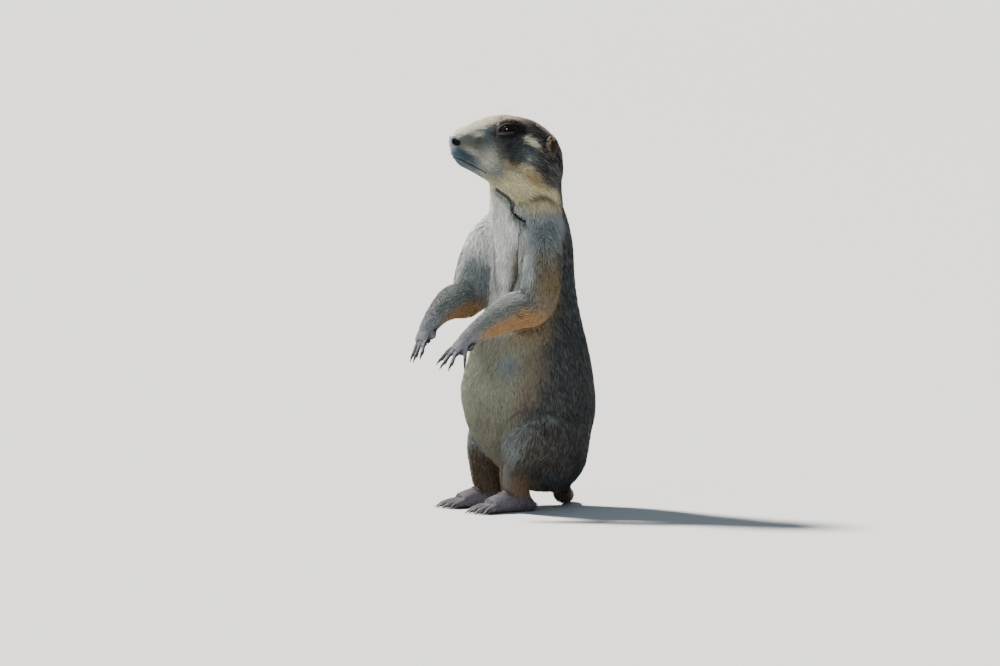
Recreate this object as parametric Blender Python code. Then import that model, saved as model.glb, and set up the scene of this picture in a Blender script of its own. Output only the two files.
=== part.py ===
"""Standing prairie dog, a still life-size model.

Metres, +Z up. The animal faces -Y, its left side is +X and its soles rest on z = 0. The solids reach
to the tips of the short coat. The form is modelled whole, in lofts and balls that are fused and
smoothed, and is then parted into its sub-parts by cuts that leave a thin gap.
"""
import math

import bmesh
import bpy
from mathutils import Matrix, Vector
from mathutils.bvhtree import BVHTree

MM = 0.001
GAP = 0.3 * MM
UP = Vector((0, 0, 1))

# Turns to the animal's right, of its hips, its chest and its head.
HIP_TURN = math.radians(14.0)
CHEST_TURN = math.radians(-6.0)
HEAD_TURN = math.radians(36.0)

# Trunk sections: height, centre ahead of the axis, half width, half depth, all in millimetres.
TRUNK = [
    (12, -14, 19, 13),
    (20, -12, 31, 22),
    (30, -10, 40, 31),
    (42, -6, 44.5, 38),
    (54, -2.5, 47.5, 43.5),
    (66, -1.5, 49.5, 47.5),
    (78, -0.6, 51.5, 49.3),
    (89, 0.4, 50.5, 49.3),
    (101, -0.4, 49, 47),
    (114, -1.4, 46, 43.6),
    (126, -1.2, 42.5, 41.3),
    (139, -3.4, 37.5, 36.8),
    (154, -4.8, 34.5, 32),
    (169, -3.8, 33.5, 30.5),
    (184, -3.2, 33.5, 30),
    (196, -2.6, 32.5, 30),
    (209, -1.0, 30, 29.5),
    (222, 1.5, 28, 27.7),
    (236, 2.0, 27, 27),
    (250, 2.0, 24, 25),
    (262, 2.0, 18, 18),
]

# Head sections: distance behind the nose tip, top, bottom, half width, in millimetres.
HEAD = [
    (0.6, 274.6, 265.6, 4.4),
    (3, 277.3, 259, 7.7),
    (7, 279.2, 253.4, 9.6),
    (12, 281.2, 250.2, 11.2),
    (18, 284.2, 246.8, 13),
    (25, 287.2, 242.6, 15.5),
    (32, 289, 237.8, 19),
    (40, 289.6, 232.6, 23),
    (48, 289, 229, 26.4),
    (56, 287.4, 227.5, 28.4),
    (64, 284.6, 228, 28.8),
    (72, 279.6, 230.5, 27),
    (79, 272.6, 234.5, 22.5),
    (84, 262.5, 240, 15.5),
]
NOSE_AHEAD = 57.5 * MM       # from the neck's axis to the nose tip
NECK_AHEAD = 1.5 * MM        # the neck's axis ahead of the trunk's

# Face: distance behind the nose tip, distance to the side and height of each feature.
EYE_BACK = 43.4 * MM
EYE_SIDE = 15.4 * MM
EYE_HEIGHT = 277.3 * MM
EYE_RADIUS = 6.6 * MM
EYE_LOOK = math.radians(12.0)        # forward from straight sideways
EYE_RISE = math.radians(14.0)
LID_THICK = 1.5 * MM
RIM_THICK = 0.9 * MM
RIM_OUT = 1.1 * MM
LID_HALF_LENGTH = 6.1 * MM
LID_HALF_HEIGHT = 4.5 * MM
EAR_BACK = 74.0 * MM
EAR_SIDE = 23.0 * MM
EAR_HEIGHT = 268.0 * MM
EAR_RADII = (3.6 * MM, 6.6 * MM, 8.4 * MM)   # outward, along the head, up
CUP_OUT = 3.2 * MM
CUP_RADII = (3.4 * MM, 4.6 * MM, 5.9 * MM)
NOSE_BACK = 3.2 * MM
NOSE_HEIGHT = 271.0 * MM
NOSE_RADII = (6.2 * MM, 6.6 * MM, 6.4 * MM)  # to the side, along the head, up
NOSTRIL_BACK = 3.4 * MM
NOSTRIL_SIDE = 4.3 * MM
NOSTRIL_HEIGHT = 269.0 * MM
NOSTRIL_RADII = (1.5 * MM, 1.9 * MM, 1.2 * MM)
# Line of the mouth: degrees from straight ahead, the turn's middle behind the nose tip, and height.
MOUTH = [(0, 13, 259.8), (28, 13, 259.2), (58, 13, 257.4), (90, 13, 254.9), (90, 18, 252.4),
         (90, 23, 249.8), (90, 27, 247.6)]
CLEFT = (266.0, 262.5, 258.9)        # heights of the cleft from the nose down to the mouth
MOUTH_GROOVE = 0.62 * MM
LIP_THICK = 1.2 * MM
LIP_SUNK = 0.5 * MM
LIP_SPREAD = 0.95 * MM               # each lip's middle above or below the line of the mouth

# Round masses of the head: distance behind the nose tip, to the side, height and half sizes.
HEAD_MASSES = [
    ("cheek", 55, 15, 246, (13.5, 17, 15)),
    ("brow", 45, 12, 281, (8, 11, 6)),
    ("whisker_pad", 10, 5.2, 262.5, (6, 8, 6)),
    ("temple", 60, 15.5, 266, (11.5, 15, 14)),
]

# Arms, in the chest's frame: to the side, back, height and radius, in millimetres. 1 is the left.
ARM = {
    1: [(24, -6, 204, 10), (29, -13, 189, 14), (32.5, -20, 170, 15), (32.5, -26, 152, 14),
        (24, -38, 148.5, 14), (15.5, -51, 141, 11), (8.5, -60.5, 134, 8.4), (4, -66, 129, 6.6),
        (2.5, -68.5, 126.5, 6.1)],
    -1: [(25, -9, 208, 11), (30, -16, 193, 14), (33, -23, 172, 14.5), (33, -29, 154, 13.5),
         (30.5, -46, 153, 13), (28.5, -61, 147.5, 9.8), (27.5, -70.5, 141.5, 7.7), (27, -76.5, 136.5, 6.6),
         (26.8, -79, 134, 6.1)],
}
ELBOW_AT = 4
FINGERTIP = {1: (-5.2, -85.0, 110.5), -1: (24, -95.0, 114.8)}

# Palm sections, from inside the wrist: distance along, half width and half height, in millimetres.
PALM = [(0, 6.3, 6.3), (5, 6.1, 5.9), (10, 6.2, 5.2), (16, 6.7, 4.3), (19.5, 6.0, 3.2)]
PALM_INSET = 5.0 * MM
PALM_LENGTH = 14.0 * MM
HEEL_PAD = (5.0 * MM, 5.6 * MM, 4.6 * MM)    # half sizes: to the side, along the hand, up
HEEL_DROP = 4.8 * MM

# Fingers: fan and droop in degrees, length, distance from the middle line, and set back.
FINGERS = [(-4, 0, 11.4, -4.5, 0.4), (5, 2, 12.6, -1.5, 0), (14, 9, 11.2, 1.6, 0.8), (20, 34, 9.4, 4.3, 5.6)]
FINGER_RADIUS = 2.0 * MM
FINGER_ROOT = 3.0                    # how far a finger starts inside the palm, in millimetres
THUMB_LENGTH = 4.0 * MM
HAND_CLAW = 7.6 * MM
CLAW_RADIUS = 1.25 * MM
CLAW_SUNK = 1.6 * MM                 # how deep a claw's root sits in its finger or toe

# Legs, in the hips' frame: to the side, back, height and radius, in millimetres.
LEG = [(26, 12, 63, 24), (31.5, 2, 58, 25), (32.5, -10, 53.5, 21.8), (29.5, -18.5, 44, 16.5),
       (25.5, -22.5, 30, 12.4), (23.4, -22, 17, 10.4), (22.8, -19, 11, 9.3)]
LEG_REGION = [(37, 13, 60.5, 22), (40, 4, 56.5, 25), (37.5, -8.5, 52.5, 25), (30.5, -18, 43.5, 18.5),
              (25.5, -22.5, 30, 12.8), (23.4, -22, 15, 11.4)]
FOOT_SIDE = 23 * MM
HEEL_BACK = -8.0 * MM
FOOT_TURN = math.radians(4.0)
# Foot sections, from the heel: distance along, half width and half height, in millimetres.
FOOT = [(0, 5.2, 5.5), (6, 6.8, 7.2), (16, 8.4, 8.6), (27, 9.2, 7.4), (36, 9.6, 5.8)]
# Toes: fan angle in degrees, length and distance from the middle line, in millimetres.
TOES = [(-20, 8.5, -7.2), (-9, 11.5, -4.0), (0, 12.8, -0.2), (9, 11.8, 3.7), (21, 8.8, 7.0)]
TOE_RADIUS = 2.7 * MM
TOE_ROOT = 4.0                       # how far a toe starts inside the sole, in millimetres
FOOT_CLAW = 7.0 * MM

# Tail, in the hips' frame: to the side, back, height and radius, in millimetres.
TAIL = [(0, 25, 42, 10), (0, 27.5, 30, 9.8), (-0.5, 27, 19, 8.8), (-3.5, 29.5, 10.8, 7.6),
        (-12, 35.5, 7.2, 7), (-23, 43, 6.3, 6.3), (-32, 48, 5.2, 4.7), (-35.5, 49.5, 4.2, 2.6)]

# Cuts between head, neck, chest and abdomen: a point of the head, its tilt, and two heights.
HEAD_CUT = (57 * MM, 0, 227 * MM)
HEAD_CUT_TILT = 0.10
NECK_CUT = 206 * MM
CHEST_CUT = 138 * MM

FORM_VOXEL = 1.3 * MM
DETAIL_VOXEL = 0.7 * MM
HEAD_FACES = 2100
BODY_FACES = 3100
HAND_FACES = 330
FOOT_FACES = 330
REGION_FACES = 240
REGION_MORE = 2.2 * MM       # how far the cuts round a limb stand off its skin
SHARP_ANGLE = math.radians(50)

COLOURS = {
    "crown": ((0.36, 0.24, 0.15), 0.85),
    "throat": ((0.56, 0.50, 0.42), 0.85),
    "breast": ((0.55, 0.50, 0.44), 0.85),
    "belly": ((0.38, 0.30, 0.22), 0.85),
    "arm_fur": ((0.50, 0.42, 0.32), 0.85),
    "leg_fur": ((0.24, 0.18, 0.13), 0.85),
    "hand_skin": ((0.30, 0.26, 0.24), 0.7),
    "tail_fur": ((0.10, 0.075, 0.055), 0.85),
    "ear_skin": ((0.16, 0.12, 0.10), 0.8),
    "nose_skin": ((0.08, 0.075, 0.08), 0.5),
    "eye_gloss": ((0.01, 0.008, 0.007), 0.1),
    "claw_horn": ((0.02, 0.018, 0.018), 0.4),
}


def clear_scene():
    for obj in list(bpy.data.objects):
        bpy.data.objects.remove(obj)


def new_object(name, mesh):
    obj = bpy.data.objects.new(name, mesh)
    bpy.context.scene.collection.objects.link(obj)
    return obj


def from_bmesh(name, shape):
    bmesh.ops.recalc_face_normals(shape, faces=shape.faces)
    mesh = bpy.data.meshes.new(name)
    shape.to_mesh(mesh)
    shape.free()
    return new_object(name, mesh)


def turned(turn, side, back, height):
    """A point of a frame that is turned about the vertical axis, in world coordinates."""
    return Matrix.Rotation(-turn, 3, "Z") @ Vector((side, back, height))


def head_point(back, side, height):
    """A point of the head, from its nose tip: back along the head, to its left, and height."""
    return turned(HEAD_TURN, side, back - NOSE_AHEAD, height) + Vector((0, -NECK_AHEAD, 0))


def smooth_rows(rows, steps):
    """Rows of numbers joined by a Catmull-Rom curve, with steps rows for each gap."""
    ends = [rows[0]] + list(rows) + [rows[-1]]
    out = []
    for a, b, c, d in zip(ends, ends[1:], ends[2:], ends[3:]):
        for step in range(steps):
            t = step / steps
            out.append(tuple(
                0.5 * (2 * q + (r - p) * t + (2 * p - 5 * q + 4 * r - s) * t * t
                       + (3 * q - p - 3 * r + s) * t ** 3)
                for p, q, r, s in zip(a, b, c, d)))
    out.append(tuple(rows[-1]))
    return out


def loft(name, rings, sides=36):
    """A closed tube through rings of centre, two axes and two half sizes."""
    shape = bmesh.new()
    loops = []
    for centre, across, along, half_across, half_along in rings:
        angles = [2 * math.pi * i / sides for i in range(sides)]
        loops.append([shape.verts.new(centre + across * half_across * math.cos(a)
                                      + along * half_along * math.sin(a)) for a in angles])
    for lower, upper in zip(loops, loops[1:]):
        for i in range(sides):
            shape.faces.new((lower[i - 1], lower[i], upper[i], upper[i - 1]))
    shape.faces.new(loops[0])
    shape.faces.new(loops[-1])
    return from_bmesh(name, shape)


def ball(name, centre, radii, turn=None, sides=24):
    """An ellipsoid at a centre, with its half sizes along the axes of turn."""
    shape = bmesh.new()
    place = Matrix.Translation(centre) @ (turn or Matrix()).to_4x4() @ Matrix.Diagonal((*radii, 1))
    bmesh.ops.create_uvsphere(shape, u_segments=sides, v_segments=sides // 2, radius=1, matrix=place)
    return from_bmesh(name, shape)


def tube(name, stations, grow=0.0, sides=24, steps=4, flat_ends=False):
    """A round tube through stations of point and radius, with rounded ends unless flat_ends."""
    rows = smooth_rows([(*point, radius) for point, radius in stations], steps)
    points = [Vector(row[:3]) for row in rows]
    radii = [row[3] + grow for row in rows]
    rings = []
    across = None
    for i, point in enumerate(points):
        ahead = points[min(i + 1, len(points) - 1)] - points[max(i - 1, 0)]
        ahead.normalize()
        if across is None:
            across = ahead.orthogonal().normalized()
        across = (across - ahead * across.dot(ahead)).normalized()
        rings.append((point, across.copy(), ahead.cross(across), radii[i], radii[i]))
    if not flat_ends:
        first, last = rings[0], rings[-1]
        rings = end_rings(first, points[0] - points[1], True) + rings
        rings += end_rings(last, points[-1] - points[-2], False)
    return loft(name, rings, sides)


def end_rings(ring, outward, reverse):
    """Shrinking rings that round off the end of a tube."""
    point, across, along, radius, _ = ring
    outward = outward.normalized()
    angles = [math.radians(angle) for angle in (25, 48, 68, 84)]
    rings = [(point + outward * radius * math.sin(a), across, along,
              radius * math.cos(a), radius * math.cos(a)) for a in angles]
    return rings[::-1] if reverse else rings


def settle(obj):
    """Turns the object's modifiers into plain mesh."""
    graph = bpy.context.evaluated_depsgraph_get()
    mesh = bpy.data.meshes.new_from_object(obj.evaluated_get(graph))
    obj.modifiers.clear()
    obj.data = mesh
    return obj


def copy_of(obj, name):
    return new_object(name, obj.data.copy())


def drop(*objs):
    for obj in objs:
        bpy.data.objects.remove(obj)


def fuse(name, pieces, voxel, smoothing, factor=0.5):
    """Joins overlapping closed pieces into one closed form and smooths where they meet."""
    shape = bmesh.new()
    for piece in pieces:
        shape.from_mesh(piece.data)
    drop(*pieces)
    form = from_bmesh(name, shape)
    remesh = form.modifiers.new("Remesh", "REMESH")
    remesh.mode = "VOXEL"
    remesh.voxel_size = voxel
    smooth = form.modifiers.new("Smooth", "SMOOTH")
    smooth.factor = factor
    smooth.iterations = smoothing
    return settle(form)


def thin_out(obj, faces):
    """Fewer triangles, with most left where the form bends most."""
    triangles = sum(len(face.vertices) - 2 for face in obj.data.polygons)
    decimate = obj.modifiers.new("Decimate", "DECIMATE")
    decimate.ratio = min(1.0, faces / triangles)
    return settle(obj)


def boolean(obj, cutter, operation, solver="EXACT"):
    """One Boolean on obj. The cutter is removed."""
    modifier = obj.modifiers.new("Boolean", "BOOLEAN")
    modifier.operation = operation
    modifier.object = cutter
    modifier.solver = solver
    settle(obj)
    drop(cutter)
    return obj


def sliced(obj, point, normal):
    """Keeps the side of a plane that normal points to, and closes the cut with a flat face."""
    shape = bmesh.new()
    shape.from_mesh(obj.data)
    geometry = list(shape.verts) + list(shape.edges) + list(shape.faces)
    cut = bmesh.ops.bisect_plane(shape, geom=geometry, dist=1e-7, plane_co=point, plane_no=normal,
                                 clear_inner=True)
    edges = [edge for edge in cut["geom_cut"] if isinstance(edge, bmesh.types.BMEdge)]
    bmesh.ops.triangle_fill(shape, edges=edges, use_beauty=True, use_dissolve=False)
    bmesh.ops.recalc_face_normals(shape, faces=shape.faces)
    shape.to_mesh(obj.data)
    shape.free()
    return obj


def parted(obj, name, point, normal):
    """Splits obj at a plane, with the gap between. The side of normal is the new object."""
    normal = normal.normalized()
    ahead = sliced(copy_of(obj, name), point + normal * GAP / 2, normal)
    sliced(obj, point - normal * GAP / 2, -normal)
    return ahead


def keep_largest(obj):
    """Keeps only the closed surface that holds most."""
    shape = bmesh.new()
    shape.from_mesh(obj.data)
    bmesh.ops.remove_doubles(shape, verts=shape.verts, dist=5e-6)
    bmesh.ops.dissolve_degenerate(shape, edges=shape.edges, dist=5e-6)
    bmesh.ops.triangulate(shape, faces=shape.faces)
    seen = set()
    islands = []
    for face in shape.faces:
        if face in seen:
            continue
        island = []
        stack = [face]
        seen.add(face)
        while stack:
            at = stack.pop()
            island.append(at)
            for edge in at.edges:
                for other in edge.link_faces:
                    if other not in seen:
                        seen.add(other)
                        stack.append(other)
        islands.append(island)

    def size(island):
        return abs(sum(f.verts[0].co.dot(f.verts[1].co.cross(f.verts[2].co)) for f in island))

    islands.sort(key=size)
    for island in islands[:-1]:
        bmesh.ops.delete(shape, geom=island, context="FACES")
    loose = [vert for vert in shape.verts if not vert.link_faces]
    bmesh.ops.delete(shape, geom=loose, context="VERTS")
    shape.to_mesh(obj.data)
    shape.free()
    return obj


def trunk_turn(height):
    """The turn of the trunk and neck at a height, from the hips up to the head."""
    hips, chest, nape, crown = 70 * MM, 160 * MM, 205 * MM, 245 * MM
    if height < hips:
        return HIP_TURN
    if height < chest:
        return HIP_TURN + (CHEST_TURN - HIP_TURN) * (height - hips) / (chest - hips)
    if height < nape:
        return CHEST_TURN
    rise = min(1.0, (height - nape) / (crown - nape))
    return CHEST_TURN + (HEAD_TURN - CHEST_TURN) * rise


def trunk_pieces():
    rings = []
    for height, ahead, half_width, half_depth in smooth_rows(TRUNK, 3):
        turn = trunk_turn(height * MM)
        rings.append((turned(turn, 0, -ahead * MM, height * MM), turned(turn, 1, 0, 0),
                      turned(turn, 0, 1, 0), half_width * MM, half_depth * MM))
    return [loft("trunk", rings, 48)]


def head_pieces():
    rings = []
    for back, top, bottom, half_width in smooth_rows(HEAD, 3):
        rings.append((head_point(back * MM, 0, (top + bottom) / 2 * MM), turned(HEAD_TURN, 1, 0, 0),
                      UP, half_width * MM, (top - bottom) / 2 * MM))
    pieces = [loft("skull", rings, 40)]
    turn = Matrix.Rotation(-HEAD_TURN, 3, "Z")
    for side in (1, -1):
        for name, back, out, height, radii in HEAD_MASSES:
            pieces.append(ball(name, head_point(back * MM, side * out * MM, height * MM),
                               [radius * MM for radius in radii], turn))
    return pieces


def arm_stations(side):
    return [(turned(CHEST_TURN, side * out * MM, back * MM, height * MM), radius * MM)
            for out, back, height, radius in ARM[side]]


def leg_stations(side):
    return [(turned(HIP_TURN, side * out * MM, back * MM, height * MM), radius * MM)
            for out, back, height, radius in LEG]


def leg_region_stations(side):
    return [(turned(HIP_TURN, side * out * MM, back * MM, height * MM), radius * MM)
            for out, back, height, radius in LEG_REGION]


def tail_stations():
    return [(turned(HIP_TURN, out * MM, back * MM, height * MM), radius * MM)
            for out, back, height, radius in TAIL]


def body_form():
    """The whole animal but its hands, feet, eyes and ears, as one closed smooth form."""
    pieces = trunk_pieces() + head_pieces()
    pieces += [tube(f"arm_{side}", arm_stations(side)) for side in (1, -1)]
    pieces += [tube(f"leg_{side}", leg_stations(side)) for side in (1, -1)]
    pieces.append(tube("tail", tail_stations()))
    return fuse("form", pieces, FORM_VOXEL, 7)


def hand_frame(side):
    """The wrist, the hand's direction, its spread from thumb to little finger, and its back."""
    wrist = arm_stations(side)[-2][0]
    out, back, height = FINGERTIP[side]
    ahead = (turned(CHEST_TURN, side * out * MM, back * MM, height * MM) - wrist).normalized()
    spread = turned(CHEST_TURN, side, 0, 0)
    spread = (spread - ahead * spread.dot(ahead)).normalized()
    rise = ahead.cross(spread) if side > 0 else spread.cross(ahead)
    return wrist, ahead, spread, rise.normalized()


def foot_frame(side):
    """The heel, the foot's direction, its spread outward, and up."""
    turn = HIP_TURN - side * FOOT_TURN
    heel = turned(HIP_TURN, side * FOOT_SIDE, HEEL_BACK, 0)
    return heel, turned(turn, 0, -1, 0), turned(turn, side, 0, 0), UP


def finger_path(frame, root, fan, length, rise, curl, droop=0.0):
    """Points along a finger or toe: from its root out at its fan and droop, bent down by curl."""
    _, ahead, spread, up = frame
    aim = (ahead * math.cos(fan) + spread * math.sin(fan)) * math.cos(droop) - up * math.sin(droop)
    tip = root + aim * length - up * curl
    middle = root + aim * length * 0.5 + up * rise
    return [root, middle, tip], aim


def hand_parts(side):
    """The hand's form and, for each finger, its tip and the claw's direction."""
    frame = hand_frame(side)
    wrist, ahead, spread, up = frame
    palm = []
    for along, half_width, half_height in PALM:
        centre = wrist + ahead * (along * MM - PALM_INSET)
        palm.append((centre, spread, up, half_width * MM, half_height * MM))
    pieces = [loft("palm", palm, 24)]
    turn = Matrix((spread, ahead, up)).transposed()
    pad = wrist + ahead * 3.0 * MM - up * HEEL_DROP
    pieces.append(ball("heel_pad", pad, HEEL_PAD, turn))
    tips = []
    for fan, droop, length, off, set_back in FINGERS:
        root = wrist + ahead * (PALM_LENGTH - (FINGER_ROOT + set_back) * MM) + spread * off * MM
        reach = (FINGER_ROOT + length) * MM
        path, aim = finger_path(frame, root, math.radians(fan), reach, 0.8 * MM, 0.7 * MM,
                                math.radians(droop))
        radii = (FINGER_RADIUS * 1.05, FINGER_RADIUS, FINGER_RADIUS * 0.84)
        pieces.append(tube("finger", list(zip(path, radii)), sides=16))
        tips.append((path[-1], (aim + up * 0.1).normalized(), up))
    root = wrist + ahead * 5 * MM - spread * 5.2 * MM - up * 1.5 * MM
    tip = root + (ahead * 0.8 - spread * 0.6 - up * 0.3) * THUMB_LENGTH
    pieces.append(tube("thumb", [(root, 2.0 * MM), (tip, 1.6 * MM)], sides=16))
    return thin_out(fuse("hand", pieces, DETAIL_VOXEL, 3), HAND_FACES), tips


def foot_parts(side):
    """The foot's form and, for each toe, its tip and the claw's direction."""
    frame = foot_frame(side)
    heel, ahead, spread, up = frame
    rings = []
    for along, half_width, half_height in smooth_rows(FOOT, 3):
        centre = heel + ahead * along * MM + up * (half_height - 0.7) * MM
        rings.append((centre, spread, up, half_width * MM, half_height * MM))
    pieces = [loft("sole", rings, 28)]
    pieces.append(ball("heel", heel + up * 4.6 * MM, (5.2 * MM, 5.2 * MM, 5.4 * MM)))
    stations = leg_stations(side)
    pieces.append(tube("ankle", [stations[-2], stations[-1],
                                 (heel + ahead * 7 * MM + up * 6 * MM, 7 * MM)]))
    tips = []
    for fan, length, off in TOES:
        root = heel + ahead * (FOOT[-1][0] - TOE_ROOT) * MM + spread * off * MM + up * 3.4 * MM
        reach = (TOE_ROOT + length) * MM
        path, aim = finger_path(frame, root, math.radians(fan), reach, 1.2 * MM, 0.9 * MM)
        radii = (TOE_RADIUS * 1.1, TOE_RADIUS, TOE_RADIUS * 0.86)
        pieces.append(tube("toe", list(zip(path, radii)), sides=16))
        tips.append((path[-1], (aim - up * 0.22).normalized(), up))
    form = thin_out(fuse("foot", pieces, DETAIL_VOXEL, 3), FOOT_FACES)
    return sliced(form, Vector((0, 0, 0)), UP), tips


def claw(name, tip, aim, up, length, grow=0.0):
    """A curved tapering claw whose root sits in the end of its toe."""
    stations = []
    for t in (0.0, 0.35, 0.7, 1.0):
        along = length * t - CLAW_SUNK - grow * (1 - t)
        point = tip + aim * along + up * (0.5 * MM - length * 0.22 * t * t)
        stations.append((point, CLAW_RADIUS * (1 - 0.8 * t) + grow))
    return tube(name, stations, sides=6, steps=1, flat_ends=True)


def add_material(obj, key):
    material = bpy.data.materials.get(key)
    if material is None:
        colour, roughness = COLOURS[key]
        material = bpy.data.materials.new(key)
        material.use_nodes = True
        shader = material.node_tree.nodes["Principled BSDF"]
        shader.inputs["Base Color"].default_value = (*colour, 1)
        shader.inputs["Roughness"].default_value = roughness
        shader.inputs["Metallic"].default_value = 0.0
    obj.data.materials.clear()
    obj.data.materials.append(material)
    obj.data.shade_smooth()
    obj.data.set_sharp_from_angle(angle=SHARP_ANGLE)


SIDE_NAMES = {1: "left", -1: "right"}


def box_of(objs):
    """The lowest and highest corners of some objects, from where each one is placed."""
    corners = [vertex.co + obj.location for obj in objs for vertex in obj.data.vertices]
    low = Vector([min(corner[i] for corner in corners) for i in range(3)])
    high = Vector([max(corner[i] for corner in corners) for i in range(3)])
    return low, high


def stand_on_origin(nodes):
    """Hangs every node on one empty, with the model's footprint centred and its base at zero."""
    low, high = box_of(nodes)
    stand = bpy.data.objects.new("prairie_dog", None)
    bpy.context.scene.collection.objects.link(stand)
    stand.location = (-(low.x + high.x) / 2, -(low.y + high.y) / 2, -low.z)
    for node in nodes:
        node.parent = stand


def finish_node(obj, name, key, nodes):
    """Names a sub-part, gives it its material and puts its origin in its own middle."""
    keep_largest(obj)
    obj.name = name
    obj.data.name = name
    low, high = box_of([obj])
    middle = (low + high) / 2
    obj.data.transform(Matrix.Translation(-middle))
    obj.location = middle
    add_material(obj, key)
    nodes.append(obj)
    return obj


def with_claws(form, tips, length, name, nodes):
    """Makes the claws of a hand or foot and cuts their sockets into it."""
    for number, (tip, aim, up) in enumerate(tips, 1):
        boolean(form, claw("socket", tip, aim, up, length, GAP), "DIFFERENCE")
        finish_node(claw("claw", tip, aim, up, length), f"{name}_claw_{number}", "claw_horn", nodes)


def taken_out(body, stations, name):
    """Parts a limb from the body along a tube that is a little wider than the limb."""
    region = fuse("region", [tube("region", stations, REGION_MORE)], FORM_VOXEL * 1.5, 4)
    thin_out(region, REGION_FACES)
    limb = boolean(copy_of(body, name), grown(region, 0), "INTERSECT")
    boolean(body, grown(region, GAP), "DIFFERENCE")
    drop(region)
    return limb


def grown(obj, distance):
    """A copy whose surface stands a distance further out."""
    copy = copy_of(obj, "grown")
    for vertex, normal in zip(copy.data.vertices, [n.vector.copy() for n in copy.data.vertex_normals]):
        vertex.co += normal * distance
    return copy


def part_arm(body, side, nodes):
    """Takes an arm out of the body, and splits it at the elbow and the wrist."""
    name = SIDE_NAMES[side]
    stations = arm_stations(side)
    outward = turned(CHEST_TURN, side * 2 * MM, -1 * MM, 0)
    arm = taken_out(body, [(point + outward, radius) for point, radius in stations], "arm")
    elbow = stations[ELBOW_AT][0]
    cut_normal = stations[ELBOW_AT + 1][0] - stations[ELBOW_AT - 2][0]
    forearm = parted(arm, "forearm", elbow, cut_normal)
    wrist, ahead, _, _ = hand_frame(side)
    sliced(forearm, wrist - ahead * GAP / 2, -ahead)
    hand, tips = hand_parts(side)
    sliced(hand, wrist + ahead * GAP / 2, ahead)
    with_claws(hand, tips, HAND_CLAW, f"hand_{name}", nodes)
    finish_node(arm, f"upper_arm_{name}", "arm_fur", nodes)
    finish_node(forearm, f"forearm_{name}", "arm_fur", nodes)
    finish_node(hand, f"hand_{name}", "hand_skin", nodes)


def part_leg(body, side, nodes):
    """Takes a leg out of the body, and splits it at the knee and the ankle."""
    name = SIDE_NAMES[side]
    stations = leg_stations(side)
    leg = taken_out(body, leg_region_stations(side), "leg")
    knee, shin = stations[3][0], stations[4][0]
    shank = parted(leg, "shank", (knee + shin) / 2, shin - knee)
    ankle = stations[-2][0]
    sliced(shank, ankle + UP * GAP / 2, UP)
    foot, tips = foot_parts(side)
    sliced(foot, ankle - UP * GAP / 2, -UP)
    with_claws(foot, tips, FOOT_CLAW, f"foot_{name}", nodes)
    finish_node(leg, f"thigh_{name}", "leg_fur", nodes)
    finish_node(shank, f"shank_{name}", "leg_fur", nodes)
    finish_node(foot, f"foot_{name}", "hand_skin", nodes)


def eye_frame(side):
    """The eyeball's centre, and its axes: out, towards the back of the head, and up."""
    centre = head_point(EYE_BACK, side * EYE_SIDE, EYE_HEIGHT)
    flat = turned(HEAD_TURN, side * math.cos(EYE_LOOK), -math.sin(EYE_LOOK), 0)
    out = (flat * math.cos(EYE_RISE) + UP * math.sin(EYE_RISE)).normalized()
    back = turned(HEAD_TURN, 0, 1, 0)
    back = (back - out * back.dot(out)).normalized()
    up = out.cross(back) if side > 0 else back.cross(out)
    if up.z < 0:
        up.negate()
    return centre, out, back, up


def lid_outline(side, count=20):
    """The almond edge of the lids, as directions from the eyeball's centre."""
    _, out, back, up = eye_frame(side)
    points = []
    for i in range(count):
        angle = 2 * math.pi * i / count
        along = math.cos(angle)
        rise = math.sin(angle)
        height = LID_HALF_HEIGHT if rise > 0 else LID_HALF_HEIGHT * 0.72
        offset = back * LID_HALF_LENGTH * along + up * height * rise
        depth = math.sqrt(max(EYE_RADIUS ** 2 - offset.length_squared, (0.3 * EYE_RADIUS) ** 2))
        points.append((offset + out * depth).normalized())
    return points


def almond_prism(side):
    """A cutter that opens the lids, from the eyeball's middle outward."""
    centre, out, _, _ = eye_frame(side)
    shape = bmesh.new()
    inner = [shape.verts.new(centre + d * EYE_RADIUS * 0.75) for d in lid_outline(side)]
    outer = [shape.verts.new(centre + d * EYE_RADIUS * 2.4 + out * EYE_RADIUS) for d in lid_outline(side)]
    count = len(inner)
    for i in range(count):
        shape.faces.new((inner[i - 1], inner[i], outer[i], outer[i - 1]))
    shape.faces.new(inner)
    shape.faces.new(outer)
    bmesh.ops.triangulate(shape, faces=shape.faces)
    return from_bmesh("almond", shape)


def ring_tube(name, points, radius, sides=8):
    """A closed ring of round section through points."""
    shape = bmesh.new()
    loops = []
    count = len(points)
    middle = sum(points, Vector()) / count
    for i, point in enumerate(points):
        ahead = (points[(i + 1) % count] - points[i - 1]).normalized()
        across = (point - middle)
        across = (across - ahead * across.dot(ahead)).normalized()
        along = ahead.cross(across)
        loops.append([shape.verts.new(point + (across * math.cos(a) + along * math.sin(a)) * radius)
                      for a in (2 * math.pi * k / sides for k in range(sides))])
    for i in range(count):
        for k in range(sides):
            shape.faces.new((loops[i - 1][k - 1], loops[i - 1][k], loops[i][k], loops[i][k - 1]))
    return from_bmesh(name, shape)


def surface_point(tree, fan, side, back, height):
    """Where a level line from outside the head, at an angle from straight ahead, meets its surface."""
    aim = turned(HEAD_TURN, -side * math.sin(fan), math.cos(fan), 0)
    start = head_point(back, 0, height) - aim * 80 * MM
    return tree.ray_cast(start, aim)[0]


def mouth_path(tree):
    """The line of the mouth round the muzzle, from the left corner to the right one."""
    halves = {}
    for side in (1, -1):
        halves[side] = [surface_point(tree, math.radians(fan), side, back * MM, height * MM)
                        for fan, back, height in MOUTH]
    return halves[1][:0:-1] + halves[-1]


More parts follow.
